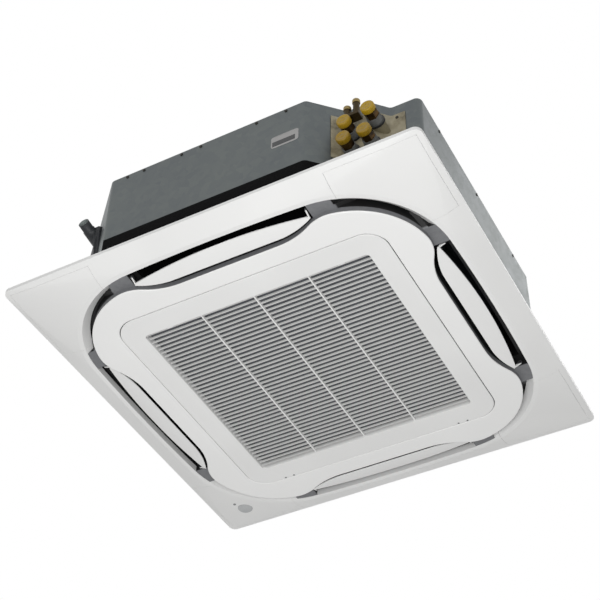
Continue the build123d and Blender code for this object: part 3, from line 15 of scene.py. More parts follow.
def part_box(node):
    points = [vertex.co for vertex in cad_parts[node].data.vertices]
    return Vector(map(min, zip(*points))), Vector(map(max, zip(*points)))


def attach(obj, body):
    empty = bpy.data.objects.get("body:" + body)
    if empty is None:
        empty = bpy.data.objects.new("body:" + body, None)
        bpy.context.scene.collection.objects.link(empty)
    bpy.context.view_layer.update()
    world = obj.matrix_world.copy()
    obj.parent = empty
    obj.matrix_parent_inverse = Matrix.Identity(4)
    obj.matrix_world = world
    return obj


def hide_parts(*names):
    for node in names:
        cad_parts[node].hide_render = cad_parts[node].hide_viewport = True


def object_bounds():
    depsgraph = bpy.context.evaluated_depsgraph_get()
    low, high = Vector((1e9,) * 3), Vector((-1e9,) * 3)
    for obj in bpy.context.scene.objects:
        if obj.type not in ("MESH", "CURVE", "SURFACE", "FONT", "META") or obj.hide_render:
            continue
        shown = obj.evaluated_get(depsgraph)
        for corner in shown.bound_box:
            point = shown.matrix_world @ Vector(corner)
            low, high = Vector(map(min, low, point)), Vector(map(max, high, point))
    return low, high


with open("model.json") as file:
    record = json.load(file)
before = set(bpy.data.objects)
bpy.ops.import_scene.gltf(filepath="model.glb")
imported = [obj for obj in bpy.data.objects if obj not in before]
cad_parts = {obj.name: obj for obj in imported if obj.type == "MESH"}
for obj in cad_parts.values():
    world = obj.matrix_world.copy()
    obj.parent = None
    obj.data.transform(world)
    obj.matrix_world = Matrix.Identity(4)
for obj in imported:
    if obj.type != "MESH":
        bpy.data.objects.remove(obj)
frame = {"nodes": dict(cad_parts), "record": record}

bl_info = {
    "name": "Ceiling Cassette Looks",
    "version": (1, 0, 0),
    "blender": (4, 5, 0),
    "location": "View3D > Sidebar > Cassette",
    "description": "Finishes, small turned parts, light and camera of a ceiling cassette",
    "category": "Object",
}

MM = 0.001
WHITE = (1.0, 1.0, 1.0, 1.0)
cad_box = [[float(value) for value in corner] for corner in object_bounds()]
nodes = frame["nodes"]

# heights above the panel's face above which a moulding's inner side is painted darker, as painted shade
GRILLE_SHADE_RISE = 5.0 * MM
FLAP_SHADE_RISE = 15.5 * MM
CORE_SHADE_RISE = 15.0 * MM

# how far behind the collars' front edge their black ring starts, and the boss behind the ring
COLLAR_RING_START = 14.6 * MM
COLLAR_BOSS_START = 20.3 * MM

# the darker strip of the rating plate, as shares of the plate's width and height
STRIP_ACROSS = (0.05, 0.88)
STRIP_UP = (0.12, 0.53)

# the drain tube and its bore: how near their axis they lie, and where they start along it, counted from the
# mount at the tube's end; past the stretch's start the tube is drawn out
TUBE_ROUND, TUBE_START, STRETCH_START = 15.2 * MM, -60 * MM, -30 * MM
BORE_ROUND, BORE_START = 11.2 * MM, -25 * MM

SMOOTH_ANGLE = radians(35)      # sharper edges stay sharp
MERGE_DISTANCE = 1e-6           # nearer points become one
STEPS_PER_RIB = 8
RIB_BAND = 0.6 * MM             # ribs stand where a turned profile is within this of its widest
UNIT_MIDDLE = Vector((0, 0, -0.1))
WAVE_PHASE = 20                 # radians that a wave texture of scale 1 turns in one metre


# ---------------------------------------------------------------- small helpers
def linear(colour):
    """Linear RGBA of an sRGB hex colour such as '#EDEDEC'."""
    values = [int(colour[start:start + 2], 16) / 255 for start in (1, 3, 5)]
    return tuple(v / 12.92 if v <= 0.04045 else ((v + 0.055) / 1.055) ** 2.4 for v in values) + (1.0,)


def add_node(tree, kind, links=(), **settings):
    """Adds a node. A setting names a property or an input; a link pairs an input with a source socket."""
    made = tree.nodes.new(kind)
    for name, value in settings.items():
        if hasattr(made, name):
            setattr(made, name, value)
        else:
            made.inputs[name.replace("_", " ")].default_value = value
    for name, source in links:
        tree.links.new(source, made.inputs[name])
    return made


def new_material(name, **shader):
    """A material with one Principled shader; returns it, its tree, the shader and object coordinates."""
    made = bpy.data.materials.new(name)
    made.use_nodes = True
    tree = made.node_tree
    tree.nodes.clear()
    principled = add_node(tree, "ShaderNodeBsdfPrincipled", **shader)
    add_node(tree, "ShaderNodeOutputMaterial", [("Surface", principled.outputs["BSDF"])])
    where = add_node(tree, "ShaderNodeTexCoord").outputs["Object"]
    return made, tree, principled, where


def ramp_between(tree, factor, low, high, colour_low, colour_high):
    """Colour that runs from one hex colour to another while the factor runs from low to high."""
    ramp = add_node(tree, "ShaderNodeValToRGB", [("Fac", factor)])
    stops = zip(ramp.color_ramp.elements, (low, high), (colour_low, colour_high))
    for element, place, colour in stops:
        element.position = place
        element.color = linear(colour)
    return ramp.outputs["Color"]


def colour_past(tree, where, axis, edge, run, before, after):
    """Colour that changes from a socket's colour to a hex colour while a coordinate passes an edge.

    The mix node's colours are its inputs 6 and 7 and its output 2.
    """
    place = add_node(tree, "ShaderNodeSeparateXYZ", [("Vector", where)]).outputs[axis]
    share = add_node(tree, "ShaderNodeMapRange", [("Value", place)], From_Min=edge, From_Max=edge + run)
    both = add_node(tree, "ShaderNodeMix", [(0, share.outputs["Result"]), (6, before)], data_type="RGBA")
    both.inputs[7].default_value = linear(after)
    return both.outputs[2]


def bump_from(tree, principled, height, depth_mm):
    """Feeds a height of 0 to 1 to the shader as relief of a depth in millimetres."""
    bump = add_node(tree, "ShaderNodeBump", [("Height", height)], Strength=1.0, Distance=depth_mm * MM)
    tree.links.new(bump.outputs["Normal"], principled.inputs["Normal"])


def coat(tree, principled, pattern, span, colours, relief_mm):
    """Lets one pattern drive both the colour, over a span of its values, and the relief."""
    tree.links.new(ramp_between(tree, pattern, *span, *colours), principled.inputs["Base Color"])
    bump_from(tree, principled, pattern, relief_mm)


def per_metre(size_mm):
    """Texture scale that gives features of a size in millimetres."""
    return 1000.0 / size_mm


def band_scale(pitch_mm):
    """Wave texture scale that gives bands of a pitch in millimetres."""
    return per_metre(pitch_mm) * 2 * pi / WAVE_PHASE


def crossed_bands(tree, where, pitch_mm, operation):
    """Bands along X and bands along Y, joined by a math operation."""
    bands = [add_node(tree, "ShaderNodeTexWave", [("Vector", where)], bands_direction=direction,
                      Scale=band_scale(pitch_mm)).outputs["Fac"] for direction in ("X", "Y")]
    return add_node(tree, "ShaderNodeMath", list(enumerate(bands)), operation=operation).outputs[0]


# ---------------------------------------------------------------- finishes
def moulded_abs(name, colour, shade, roughness=0.38, cloud_mm=260, grain_mm=1.6, painted_shade=None):
    """Injection-moulded ABS: satin, with a fine spark-eroded grain and a faint change of tone.

    The last argument is painted shade, a colour and a height: above that height the moulding takes that
    colour.
    """
    made, tree, principled, where = new_material(name, Roughness=roughness, IOR=1.53)
    cloud = add_node(tree, "ShaderNodeTexNoise", [("Vector", where)], Scale=per_metre(cloud_mm), Detail=2.0)
    skin = ramp_between(tree, cloud.outputs["Fac"], 0.35, 0.65, shade, colour)
    # painted shade: above the given height the moulding is darkened, standing in for the shade of a recess
    if painted_shade:
        painted_shade_colour, height = painted_shade
        skin = colour_past(tree, where, "Z", height, 1.0 * MM, skin, painted_shade_colour)
    tree.links.new(skin, principled.inputs["Base Color"])
    # the real grain is about 0.1 mm and is drawn coarser, so that it breaks up the gloss
    grain = add_node(tree, "ShaderNodeTexNoise", [("Vector", where)], Scale=per_metre(grain_mm), Detail=3.0)
    bump_from(tree, principled, grain.outputs["Fac"], 0.02)
    return made


def glass_filled_plastic(name, colour, shade, roughness=0.55, fibre_mm=9, painted_depth_shade=None):
    """Glass-filled polypropylene: matt, slightly mottled where the fibres lie near the skin.

    The last argument is painted shade, a colour and a height: above that height the moulding takes that
    colour.
    """
    made, tree, principled, where = new_material(name, Roughness=roughness, IOR=1.49)
    fibres = add_node(tree, "ShaderNodeTexNoise", [("Vector", where)], Scale=per_metre(fibre_mm), Detail=5.0,
                      Roughness=0.65).outputs["Fac"]
    skin = ramp_between(tree, fibres, 0.3, 0.7, shade, colour)
    # painted shade: above the given height the moulding is darkened, standing in for the shade deep in the
    # slot
    if painted_depth_shade:
        depth_shade_colour, height = painted_depth_shade
        skin = colour_past(tree, where, "Z", height, 1.5 * MM, skin, depth_shade_colour)
    tree.links.new(skin, principled.inputs["Base Color"])
    bump_from(tree, principled, fibres, 0.06)
    return made


def galvanised_steel(name, colour, shade, spangle_mm=14, oxide_mm=120):
    """Hot-dip galvanised sheet: zinc crystals that turn the light differently, dulled by a grey oxide."""
    made, tree, principled, where = new_material(name, Metallic=0.85)
    crystals = add_node(tree, "ShaderNodeTexVoronoi", [("Vector", where)], Scale=per_metre(spangle_mm))
    spangle = add_node(tree, "ShaderNodeSeparateColor", [("Color", crystals.outputs["Color"])]).outputs["Red"]
    oxide = add_node(tree, "ShaderNodeTexNoise", [("Vector", where)], Scale=per_metre(oxide_mm), Detail=4.0)
    mixed = add_node(tree, "ShaderNodeMix", [(2, spangle), (3, oxide.outputs["Fac"])], data_type="FLOAT",
                     Factor=0.62).outputs[0]
    tree.links.new(ramp_between(tree, mixed, 0.2, 0.8, shade, colour), principled.inputs["Base Color"])
    rough = add_node(tree, "ShaderNodeMapRange", [("Value", mixed)], To_Min=0.38, To_Max=0.58)
    tree.links.new(rough.outputs["Result"], principled.inputs["Roughness"])
    bump_from(tree, principled, spangle, 0.03)
    return made


def foam_sheet(name, colour, shade, pore_mm=5):
    """Closed-cell polyethylene foam: matt black with small open pores on its skin."""
    made, tree, principled, where = new_material(name, Roughness=0.95, IOR=1.2)
    pores = add_node(tree, "ShaderNodeTexVoronoi", [("Vector", where)], Scale=per_metre(pore_mm))
    coat(tree, principled, pores.outputs["Distance"], (0.1, 0.6), (shade, colour), 0.5)
    return made


def woven_filter(name, colour, shade, thread_mm=4.74):
    """Polypropylene filter cloth: a plain weave of thin threads between moulded bars.

    The real threads are about 1 mm apart and are drawn coarser, so that they show.
    """
    made, tree, principled, where = new_material(name, Roughness=0.7)
    weave = crossed_bands(tree, where, thread_mm, "MAXIMUM")
    coat(tree, principled, weave, (0.3, 0.9), (shade, colour), 0.4)
    return made


def fin_pack(name, colour, shade, pitch_mm=7.9):
    """Stack of aluminium fins seen edge on; the real pitch of 1.6 mm is drawn coarser so that it shows."""
    made, tree, principled, where = new_material(name, Metallic=0.7, Roughness=0.4)
    edges = crossed_bands(tree, where, pitch_mm, "MULTIPLY")
    coat(tree, principled, edges, (0.1, 0.7), (shade, colour), 0.8)
    return made


def drawn_copper(name, colour, shade, tarnish_mm=18):
    """Drawn copper and brass, browned by brazing heat and handling."""
    made, tree, principled, where = new_material(name, Metallic=0.8, Roughness=0.42)
    tarnish = add_node(tree, "ShaderNodeTexNoise", [("Vector", where)], Scale=per_metre(tarnish_mm),
                       Detail=5.0)
    coat(tree, principled, tarnish.outputs["Fac"], (0.35, 0.65), (shade, colour), 0.04)
    return made


def turned_metal(name, colour, shade, roughness=0.32, ring_mm=1.58):
    """Turned brass or plated steel: tool rings across the axis, drawn coarser than the real ones to show."""
    made, tree, principled, where = new_material(name, Metallic=0.95, Roughness=roughness)
    rings = add_node(tree, "ShaderNodeTexWave", [("Vector", where)], bands_direction="Z",
                     Scale=band_scale(ring_mm), Distortion=1.0)
    coat(tree, principled, rings.outputs["Fac"], (0.2, 0.8), (shade, colour), 0.02)
    return made


def dusty_rubber(name, colour, shade, bloom_mm=25):
    """Rubber with a faint bloom."""
    made, tree, principled, where = new_material(name, Roughness=0.75, IOR=1.52)
    bloom = add_node(tree, "ShaderNodeTexNoise", [("Vector", where)], Scale=per_metre(bloom_mm), Detail=4.0)
    coat(tree, principled, bloom.outputs["Fac"], (0.35, 0.75), (shade, colour), 0.08)
    return made


def banded_rubber(name, colour, shade, band, boss_in_painted_shade, edges, bloom_mm=12):
    """Grey foam collar with a black ring; behind the ring it is the beige boss of the cover that it sits on.

    Edges are the places along Y where the ring and the boss start; the boss's beige is darkened as painted
    shade.
    """
    made, tree, principled, where = new_material(name, Roughness=0.75, IOR=1.5)
    bloom = add_node(tree, "ShaderNodeTexNoise", [("Vector", where)], Scale=per_metre(bloom_mm), Detail=4.0)
    skin = ramp_between(tree, bloom.outputs["Fac"], 0.35, 0.7, shade, colour)
    # the black ring is the collar's own colour; the boss's darker beige is painted shade
    for edge, after in zip(edges, (band, boss_in_painted_shade)):
        skin = colour_past(tree, where, "Y", edge, 0.4 * MM, skin, after)
    tree.links.new(skin, principled.inputs["Base Color"])
    bump_from(tree, principled, bloom.outputs["Fac"], 0.08)
    return made


def stained_plastic(name, colour, shade, stain, stain_mm=38, grain_mm=1.6):
    """Beige moulding stained by flux and handling: large soft stains over a fine grain."""
    made, tree, principled, where = new_material(name, Roughness=0.55, IOR=1.5)
    patches = add_node(tree, "ShaderNodeTexNoise", [("Vector", where)], Scale=per_metre(stain_mm), Detail=4.0,
                       Roughness=0.6)
    ramp = add_node(tree, "ShaderNodeValToRGB", [("Fac", patches.outputs["Fac"])])
    ramp.color_ramp.elements.new(0.5)
    for element, place, tone in zip(ramp.color_ramp.elements, (0.32, 0.47, 0.66), (stain, shade, colour)):
        element.position = place
        element.color = linear(tone)
    tree.links.new(ramp.outputs["Color"], principled.inputs["Base Color"])
    grain = add_node(tree, "ShaderNodeTexNoise", [("Vector", where)], Scale=per_metre(grain_mm), Detail=3.0)
    bump_from(tree, principled, grain.outputs["Fac"], 0.03)
    return made


def blank_label(name, colour, shade, across, up):
    """Coated aluminium label left blank; a darker strip runs between two places across and two heights."""
    made, tree, principled, where = new_material(name, Metallic=0.2, Roughness=0.45)
    place = add_node(tree, "ShaderNodeSeparateXYZ", [("Vector", where)])
    within = []
    for axis, (start, end) in (("X", across), ("Z", up)):
        between = add_node(tree, "ShaderNodeMath", [(0, place.outputs[axis])], operation="COMPARE")
        between.inputs[1].default_value = (start + end) / 2
        between.inputs[2].default_value = (end - start) / 2
        within.append(between.outputs[0])
    strip = add_node(tree, "ShaderNodeMath", list(enumerate(within)), operation="MULTIPLY")
    tree.links.new(ramp_between(tree, strip.outputs[0], 0.0, 1.0, colour, shade),
                   principled.inputs["Base Color"])
    return made


def infrared_window(name, colour, shade, cloud_mm=30):
    """Translucent white window of the remote receiver: glossy, slightly deeper in tone than the cover."""
    made, tree, principled, where = new_material(name, Roughness=0.18, IOR=1.49, Subsurface_Weight=0.15,
                                                 Subsurface_Radius=(2 * MM, 2 * MM, 2 * MM))
    cloud = add_node(tree, "ShaderNodeTexNoise", [("Vector", where)], Scale=per_metre(cloud_mm))
    tree.links.new(ramp_between(tree, cloud.outputs["Fac"], 0.3, 0.7, shade, colour),
                   principled.inputs["Base Color"])
    return made


# ---------------------------------------------------------------- surfaces
def grid_mesh(points, closed=False):
    """Mesh of a grid of points, rows by columns; a closed grid also joins its last column to its first."""
    rows, columns = points.shape[:2]
    near = np.arange(rows * columns).reshape(rows, columns)
    far = np.roll(near, -1, axis=1)
    if not closed:
        near, far = near[:, :-1], far[:, :-1]
    faces = np.stack([near[:-1], far[:-1], far[1:], near[1:]], axis=-1).reshape(-1, 4)
    mesh = bpy.data.meshes.new("grid")
    mesh.from_pydata(points.reshape(-1, 3), [], faces)
    mesh.update()
    return mesh


def ribbed_turning(profile, ribs, depth):
    """Points of a profile (radius, height) turned about Z, with rounded ribs where the profile is widest.

    With a as the angle, n ribs and depth d, the widest radius r becomes r - d (1 - |cos(n a / 2)|), and each
    other radius within the rib band shrinks by the same share.
    """
    angles = np.linspace(0, 2 * pi, ribs * STEPS_PER_RIB, endpoint=False)
    radius, height = np.asarray(profile, float).T
    widest = radius.max()
    valley = 1 - np.abs(np.cos(ribs * angles / 2))
    out = radius[:, None] * (1 - np.outer(radius > widest - RIB_BAND, valley) * depth / widest)
    rise = np.repeat(height[:, None], len(angles), axis=1)
    return np.stack([out * np.cos(angles), out * np.sin(angles), rise], axis=-1)


def placed(points, origin, axis):
    """Points moved so that their Z axis runs along an axis from an origin."""
    turn = np.array(Vector(axis).to_track_quat("Z", "Y").to_matrix())
    return points @ turn.T + np.asarray(origin)


def new_piece(name, mesh, material):
    """One object at the origin from a mesh, which it uses up: doubles merged, normals recalculated."""
    merged = bmesh.new()
    merged.from_mesh(mesh)
    bpy.data.meshes.remove(mesh)
    bmesh.ops.remove_doubles(merged, verts=merged.verts, dist=MERGE_DISTANCE)
    bmesh.ops.recalc_face_normals(merged, faces=merged.faces)
    mesh = bpy.data.meshes.new(name)
    merged.to_mesh(mesh)
    merged.free()
    mesh.materials.append(material)
    piece = bpy.data.objects.new(name, mesh)
    bpy.context.scene.collection.objects.link(piece)
    mesh.shade_smooth()
    with bpy.context.temp_override(object=piece, active_object=piece, selected_objects=[piece],
                                   selected_editable_objects=[piece]):
        bpy.ops.object.shade_smooth_by_angle(angle=SMOOTH_ANGLE)
    return piece


def node_box(name):
    """Lowest corner, highest corner and middle of a node's box."""
    low, high = [np.array(corner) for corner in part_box(name)]
    return low, high, (low + high) / 2


def dress(material, *names):
    """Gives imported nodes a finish."""
    for name in names:
        nodes[name].data.materials.clear()
        nodes[name].data.materials.append(material)


# ---------------------------------------------------------------- settings
class CassetteFinish(bpy.types.PropertyGroup):
    """Colours of the main finishes."""
    panel: bpy.props.StringProperty(
        name="Panel", description="sRGB colour of the panel", default="#ECECEB")
    grille: bpy.props.StringProperty(
        name="Grille", description="sRGB colour of the grille", default="#EEEEED")
    core: bpy.props.StringProperty(
        name="Core", description="sRGB colour of the slot's core", default="#77787A")
    cabinet: bpy.props.StringProperty(
        name="Cabinet", description="sRGB colour of the zinc", default="#6B706F")
    caps: bpy.props.StringProperty(
        name="Caps", description="sRGB colour of the pipe caps", default="#AB8B12")


class CassetteTurned(bpy.types.PropertyGroup):
    """Sizes of the small turned and moulded parts."""
    cap_ribs: bpy.props.IntProperty(
        name="Cap ribs", description="Grip ribs round each pipe cap", default=30)
    rib_depth: bpy.props.FloatProperty(
        name="Rib depth", description="Depth of a grip rib", default=0.7 * MM, unit="LENGTH")
    cap_reach: bpy.props.FloatProperty(
        name="Cap reach", description="How much longer than its solid a cap is", default=3.0 * MM,
        unit="LENGTH")
    cap_lift: bpy.props.FloatProperty(
        name="Cap lift", description="How far a cap's rim stands off its hexagon", default=2.0 * MM,
        unit="LENGTH")
    tube_reach: bpy.props.FloatProperty(
        name="Tube reach", description="How much longer than its solid the drain tube is", default=10 * MM,
        unit="LENGTH")
    tube_drop: bpy.props.FloatProperty(
        name="Tube drop", description="How much lower than its solid the drain tube is", default=8 * MM,
        unit="LENGTH")
    knob_flutes: bpy.props.IntProperty(
        name="Knob flutes", description="Flutes round each vent knob", default=20)
    flute_depth: bpy.props.FloatProperty(
        name="Flute depth", description="Depth of a knob's flute", default=0.5 * MM, unit="LENGTH")
    plate_width: bpy.props.FloatProperty(
        name="Plate width", description="Width of the rating plate", default=64 * MM, unit="LENGTH")
    plate_height: bpy.props.FloatProperty(
        name="Plate height", description="Height of the rating plate", default=36 * MM, unit="LENGTH")
    plate_shift: bpy.props.FloatProperty(
        name="Plate shift", description="How much nearer the pipes than its solid the plate hangs",
        default=2.2 * MM, unit="LENGTH")
    plate_drop: bpy.props.FloatProperty(
        name="Plate drop", description="How much lower than its solid the plate hangs", default=5.3 * MM,
        unit="LENGTH")


class CassetteStage(bpy.types.PropertyGroup):
    """Light, floor and camera."""
    ambient: bpy.props.FloatProperty(
        name="Ambient", description="Strength of the even light", default=0.37)
    key_power: bpy.props.FloatProperty(
        name="Key light", description="Power of the light below the near side", default=47.5, unit="POWER")
    rim_power: bpy.props.FloatProperty(
        name="Rim light", description="Power of the light above the far side", default=7.5, unit="POWER")
    fill_power: bpy.props.FloatProperty(
        name="Fill light", description="Power of the light below the far side", default=8.5, unit="POWER")
    floor_drop: bpy.props.FloatProperty(
        name="Floor", description="Depth of the floor below the panel's face", default=4.0, unit="LENGTH")
    azimuth: bpy.props.FloatProperty(
        name="Azimuth", description="Camera's bearing", default=radians(29.13), subtype="ANGLE")
    elevation: bpy.props.FloatProperty(
        name="Elevation", description="Camera's height angle", default=radians(-44.22), subtype="ANGLE")
    roll: bpy.props.FloatProperty(
        name="Roll", description="Camera's roll", default=radians(1.27), subtype="ANGLE")
    position: bpy.props.FloatVectorProperty(
        name="Position", description="Camera's place", default=(1.0833, -2.0024, -2.1746), unit="LENGTH")
    lens: bpy.props.FloatProperty(
        name="Lens", description="Focal length in millimetres on a 36 mm sensor", default=84.54)


# ---------------------------------------------------------------- operators
class PanelFinish(bpy.types.Operator):
    """Finishes of the panel, the grille, the flaps and the core behind the slot"""
    bl_idname = "cassette.panel_finish"
    bl_label = "Finish the panel"

    def execute(self, context):
        finish = context.scene.cassette_finish
        face = cad_box[0][2]
        panel = moulded_abs("moulded_abs_panel", finish.panel, "#E7E7E6")
        # the grille's slats and the flaps' upper parts are painted darker above a height, as painted shade of
        # the recess
        grille = moulded_abs("moulded_abs_grille", finish.grille, "#E8E8E7", roughness=0.42,
                             painted_shade=("#D4D4D3", face + GRILLE_SHADE_RISE))
        flap = moulded_abs("moulded_abs_flap", finish.panel, "#EAEAE9",
                           painted_shade=("#3C3D3F", face + FLAP_SHADE_RISE))
        # the core is painted near black above a height, as painted shade deep in the slot
        core = glass_filled_plastic("core_with_painted_shade", finish.core, "#6C6D70", roughness=0.6,
                                    painted_depth_shade=("#0B0B0C", face + CORE_SHADE_RISE))
        dress(panel, "outer_frame", *[n for n in nodes if n.startswith("corner_cover_")])
        dress(moulded_abs("moulded_abs_inner_ring", "#F3F3F2", "#EFEFEE"), "inner_panel")
        dress(flap, *[f"flap_{side}" for side in ("front", "right", "rear", "left")])
        dress(grille, "suction_grille", "grille_latch_left", "grille_latch_right")
        dress(core, "panel_core")
        dress(woven_filter("woven_filter_cloth", "#66686C", "#44464A"), "air_filter")
        dress(infrared_window("infrared_window", "#B4B6B7", "#A6A8A9"), "receiver_window")
        dress(infrared_window("clear_light_lens", "#8E9192", "#7C7F80"), "status_light")
        black = glass_filled_plastic("moulded_black_plastic", "#1D1E20", "#141517")
        drives = [n for n in nodes if n.startswith("flap_drive_")]
        dress(black, "flap_motors", "cable_gland", "float", "bell_mouth", *drives)
        plated = turned_metal("zinc_plated_screws", "#8C8F91", "#6E7173")
        dress(plated, "panel_screws", "grille_hinge_pins", "fan_nut", "motor_shaft")
        dress(turned_metal("dulled_screws", "#3E3C38", "#2A2825", roughness=0.5), "cabinet_screws")
        return {"FINISHED"}


class CabinetFinish(bpy.types.Operator):
    """Finishes of the cabinet and of what it holds"""
    bl_idname = "cassette.cabinet_finish"
    bl_label = "Finish the cabinet"

    def execute(self, context):
        finish = context.scene.cassette_finish
        zinc = galvanised_steel("galvanised_sheet", finish.cabinet, "#5C6163")
        dress(zinc, "cabinet_shell", "top_plate", "control_box", "control_box_lid", "coil_end_plates")
        # the hanger brackets are drawn near black
        dress(glass_filled_plastic("near_black_bracket_surface", "#1F2021", "#18191A"), "hanger_brackets")
        foam = foam_sheet("closed_cell_foam", "#0E0E0F", "#060607")
        dress(foam, "lower_band", "panel_gasket", "drain_pan")
        dress(stained_plastic("beige_pipe_cover", "#B0A88F", "#9A9178", "#6E664F"), "pipe_cover")
        dress(fin_pack("aluminium_fins", "#C3C9CE", "#7C8288"), "coil_fins")
        pale = moulded_abs("moulded_fan", "#D5D7D6", "#C8CAC9", roughness=0.5)
        dress(pale, "turbo_fan", "drain_pump", "float_switch")
        dress(dusty_rubber("motor_rubber", "#262627", "#1A1A1B"), "motor_mounts")
        collar_front = node_box("pipe_collars")[0][1]
        # behind its ring each collar is a darker beige than the cover: the boss's beige with painted shade
        collar = banded_rubber("grey_collar", "#6E6F6D", "#5E5F5D", "#0D0D0D", "#7F775F",
                               (collar_front + COLLAR_RING_START, collar_front + COLLAR_BOSS_START))
        dress(collar, "pipe_collars")
        dress(moulded_abs("enamelled_motor", "#3A3C3E", "#333537", roughness=0.4), "fan_motor")
        dress(moulded_abs("solder_mask", "#1F5A36", "#1A4E2E", roughness=0.35), "circuit_board")
        dress(moulded_abs("soft_vinyl_hose", "#A9ADA9", "#9BA09C", roughness=0.45), "drain_hose")
        dress(drawn_copper("browned_copper", "#5E4622", "#23190E"), "cooling_pipes", "heating_pipes")
        dress(turned_metal("dulled_brass", "#4E4127", "#2A2216", roughness=0.5), "vent_valves")
        return {"FINISHED"}


class RatingPlate(bpy.types.Operator):
    """Blank rating plate on the cabinet's wall"""
    bl_idname = "cassette.rating_plate"
    bl_label = "Make the rating plate"

    def execute(self, context):
        turned = context.scene.cassette_turned
        low, high, middle = node_box("rating_plate")
        middle += (turned.plate_shift, 0, -turned.plate_drop)
        width, height = turned.plate_width, turned.plate_height
        left, bottom = middle[0] - width / 2, middle[2] - height / 2
        label = blank_label("blank_coated_label", "#A09F9E", "#414243",
                            [left + share * width for share in STRIP_ACROSS],
                            [bottom + share * height for share in STRIP_UP])
        surface = plate_surface(width, height, high[1] - low[1])
        on_wall = placed(surface, (middle[0], high[1], middle[2]), (0, -1, 0))
        piece = new_piece("blank_rating_plate", grid_mesh(on_wall, closed=True), label)
        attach(piece, "cabinet_and_panel")
        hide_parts("rating_plate")
        return {"FINISHED"}


def plate_surface(width, height, thickness):
    """A thin plate with rounded corners: the superellipse |x|^8 + |y|^8 = 1, carried from back to face.

    Each row scales that outline: closed at the back's middle, out to the edge, up, and in over a small bevel.
    """
    angles = np.linspace(0, 2 * pi, 96, endpoint=False)
    circle = np.stack([np.cos(angles), np.sin(angles)], axis=-1)
    outline = np.sign(circle) * np.abs(circle) ** (2 / 8) * (width / 2, height / 2)
    rows = [(0.0, 0.0), (1.0, 0.0), (1.0, 0.7), (0.985, 1.0), (0.5, 1.0), (0.0, 1.0)]
    return np.array([np.column_stack([outline * scale, np.full(len(angles), rise * thickness)])
                     for scale, rise in rows])


class DrainOutlet(bpy.types.Operator):
    """Drain tube on its moulded plate, with a lighter bore"""
    bl_idname = "cassette.drain_outlet"
    bl_label = "Make the drain outlet"

    def execute(self, context):
        turned = context.scene.cassette_turned
        mesh = nodes["drain_socket"].data.copy()
        mesh.materials.clear()
        solid = np.empty(3 * len(mesh.vertices))
        mesh.vertices.foreach_get("co", solid)
        moved = outlet_points(solid.reshape(-1, 3), turned.tube_reach, turned.tube_drop)
        mesh.vertices.foreach_set("co", moved.ravel())
        skin = glass_filled_plastic("moulded_drain_outlet", "#202328", "#14171A")
        piece = new_piece("moulded_drain_outlet", mesh, skin)
        piece.data.materials.append(glass_filled_plastic("moulded_drain_bore", "#7C8482", "#6A716F"))
        centres = np.empty(3 * len(piece.data.polygons))
        piece.data.polygons.foreach_get("center", centres)
        along, across = tube_place(centres.reshape(-1, 3) + (0, 0, turned.tube_drop))
        bore = (across < BORE_ROUND) & (along > BORE_START)
        piece.data.polygons.foreach_set("material_index", bore.astype(np.int32))
        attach(piece, "cabinet_and_panel")
        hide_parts("drain_socket")
        return {"FINISHED"}


def tube_end():
    """The drain tube's mount: the place of the tube's end and the way it points."""
    mount = next(entry for entry in frame["record"]["mounts"] if entry["name"] == "drain_tube")
    return np.array(mount["pos_m"]), np.array(mount["axis"])


def tube_place(points):
    """Distance of points along the drain tube's axis, from the mount at its end, and away from that axis."""
    end, axis = tube_end()
    reach = points - end
    along = reach @ axis
    return along, np.linalg.norm(reach - along[:, None] * axis, axis=1)


def outlet_points(points, reach, drop):
    """The outlet's points with its tube lowered and drawn out along its axis; the plate stays where it is."""
    along, across = tube_place(points)
    tube = (across < TUBE_ROUND) & (along > TUBE_START)
    lowered = points - np.outer(tube, (0, 0, drop))
    return lowered + np.outer(tube & (along > STRETCH_START), tube_end()[1] * reach)


class PipeCaps(bpy.types.Operator):
    """Moulded caps with grip ribs on the four water connections"""
    bl_idname = "cassette.pipe_caps"
    bl_label = "Make the pipe caps"

    def execute(self, context):
        turned = context.scene.cassette_turned
        material = moulded_abs("moulded_yellow_cap", context.scene.cassette_finish.caps, "#86680C",
                               roughness=0.42, grain_mm=1.2)
        for name in [n for n in nodes if n.startswith("pipe_cap_")]:
            low, high, middle = node_box(name)
            length = high[1] - low[1] + turned.cap_reach
            cup = cap_surface((high[0] - low[0]) / 2, length, turned.cap_ribs, turned.rib_depth)
            on_pipe = placed(cup, (middle[0], high[1] - turned.cap_lift, middle[2]), (0, -1, 0))
            piece = new_piece(f"ribbed_{name}", grid_mesh(on_pipe, closed=True), material)
            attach(piece, name.replace("pipe_cap_", "cap_"))
            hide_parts(name)
        return {"FINISHED"}


def cap_surface(radius, length, ribs, depth):
    """A cup turned about Z: bore, open rim, ribbed side, rounded shoulder, dished end with a raised ring.

    The shoulder and the dish are points a distance in from the side and down from the end, in millimetres.
    """
    bore = radius - 3.1 * MM
    roof = length - 2.5 * MM
    dish = length - 0.9 * MM
    ring = length - 0.3 * MM
    shoulder = ((0, 3.2), (0.3, 2.2), (1.0, 1.0), (2.2, 0.2), (3.6, 0), (5.0, 0), (6.2, 0.8), (9.0, 0.9))
    profile = [(0.0, roof), (bore, roof), (bore, 0.4 * MM), (bore + 0.4 * MM, 0.0),
               (radius - 1.0 * MM, 0.0), (radius - 0.4 * MM, 0.5 * MM), (radius, 1.2 * MM)]
    profile += [(radius - inward * MM, length - down * MM) for inward, down in shoulder]
    profile += [(3.5 * MM, dish), (2.6 * MM, ring), (0.0, ring)]
    return ribbed_turning(profile, ribs, depth)


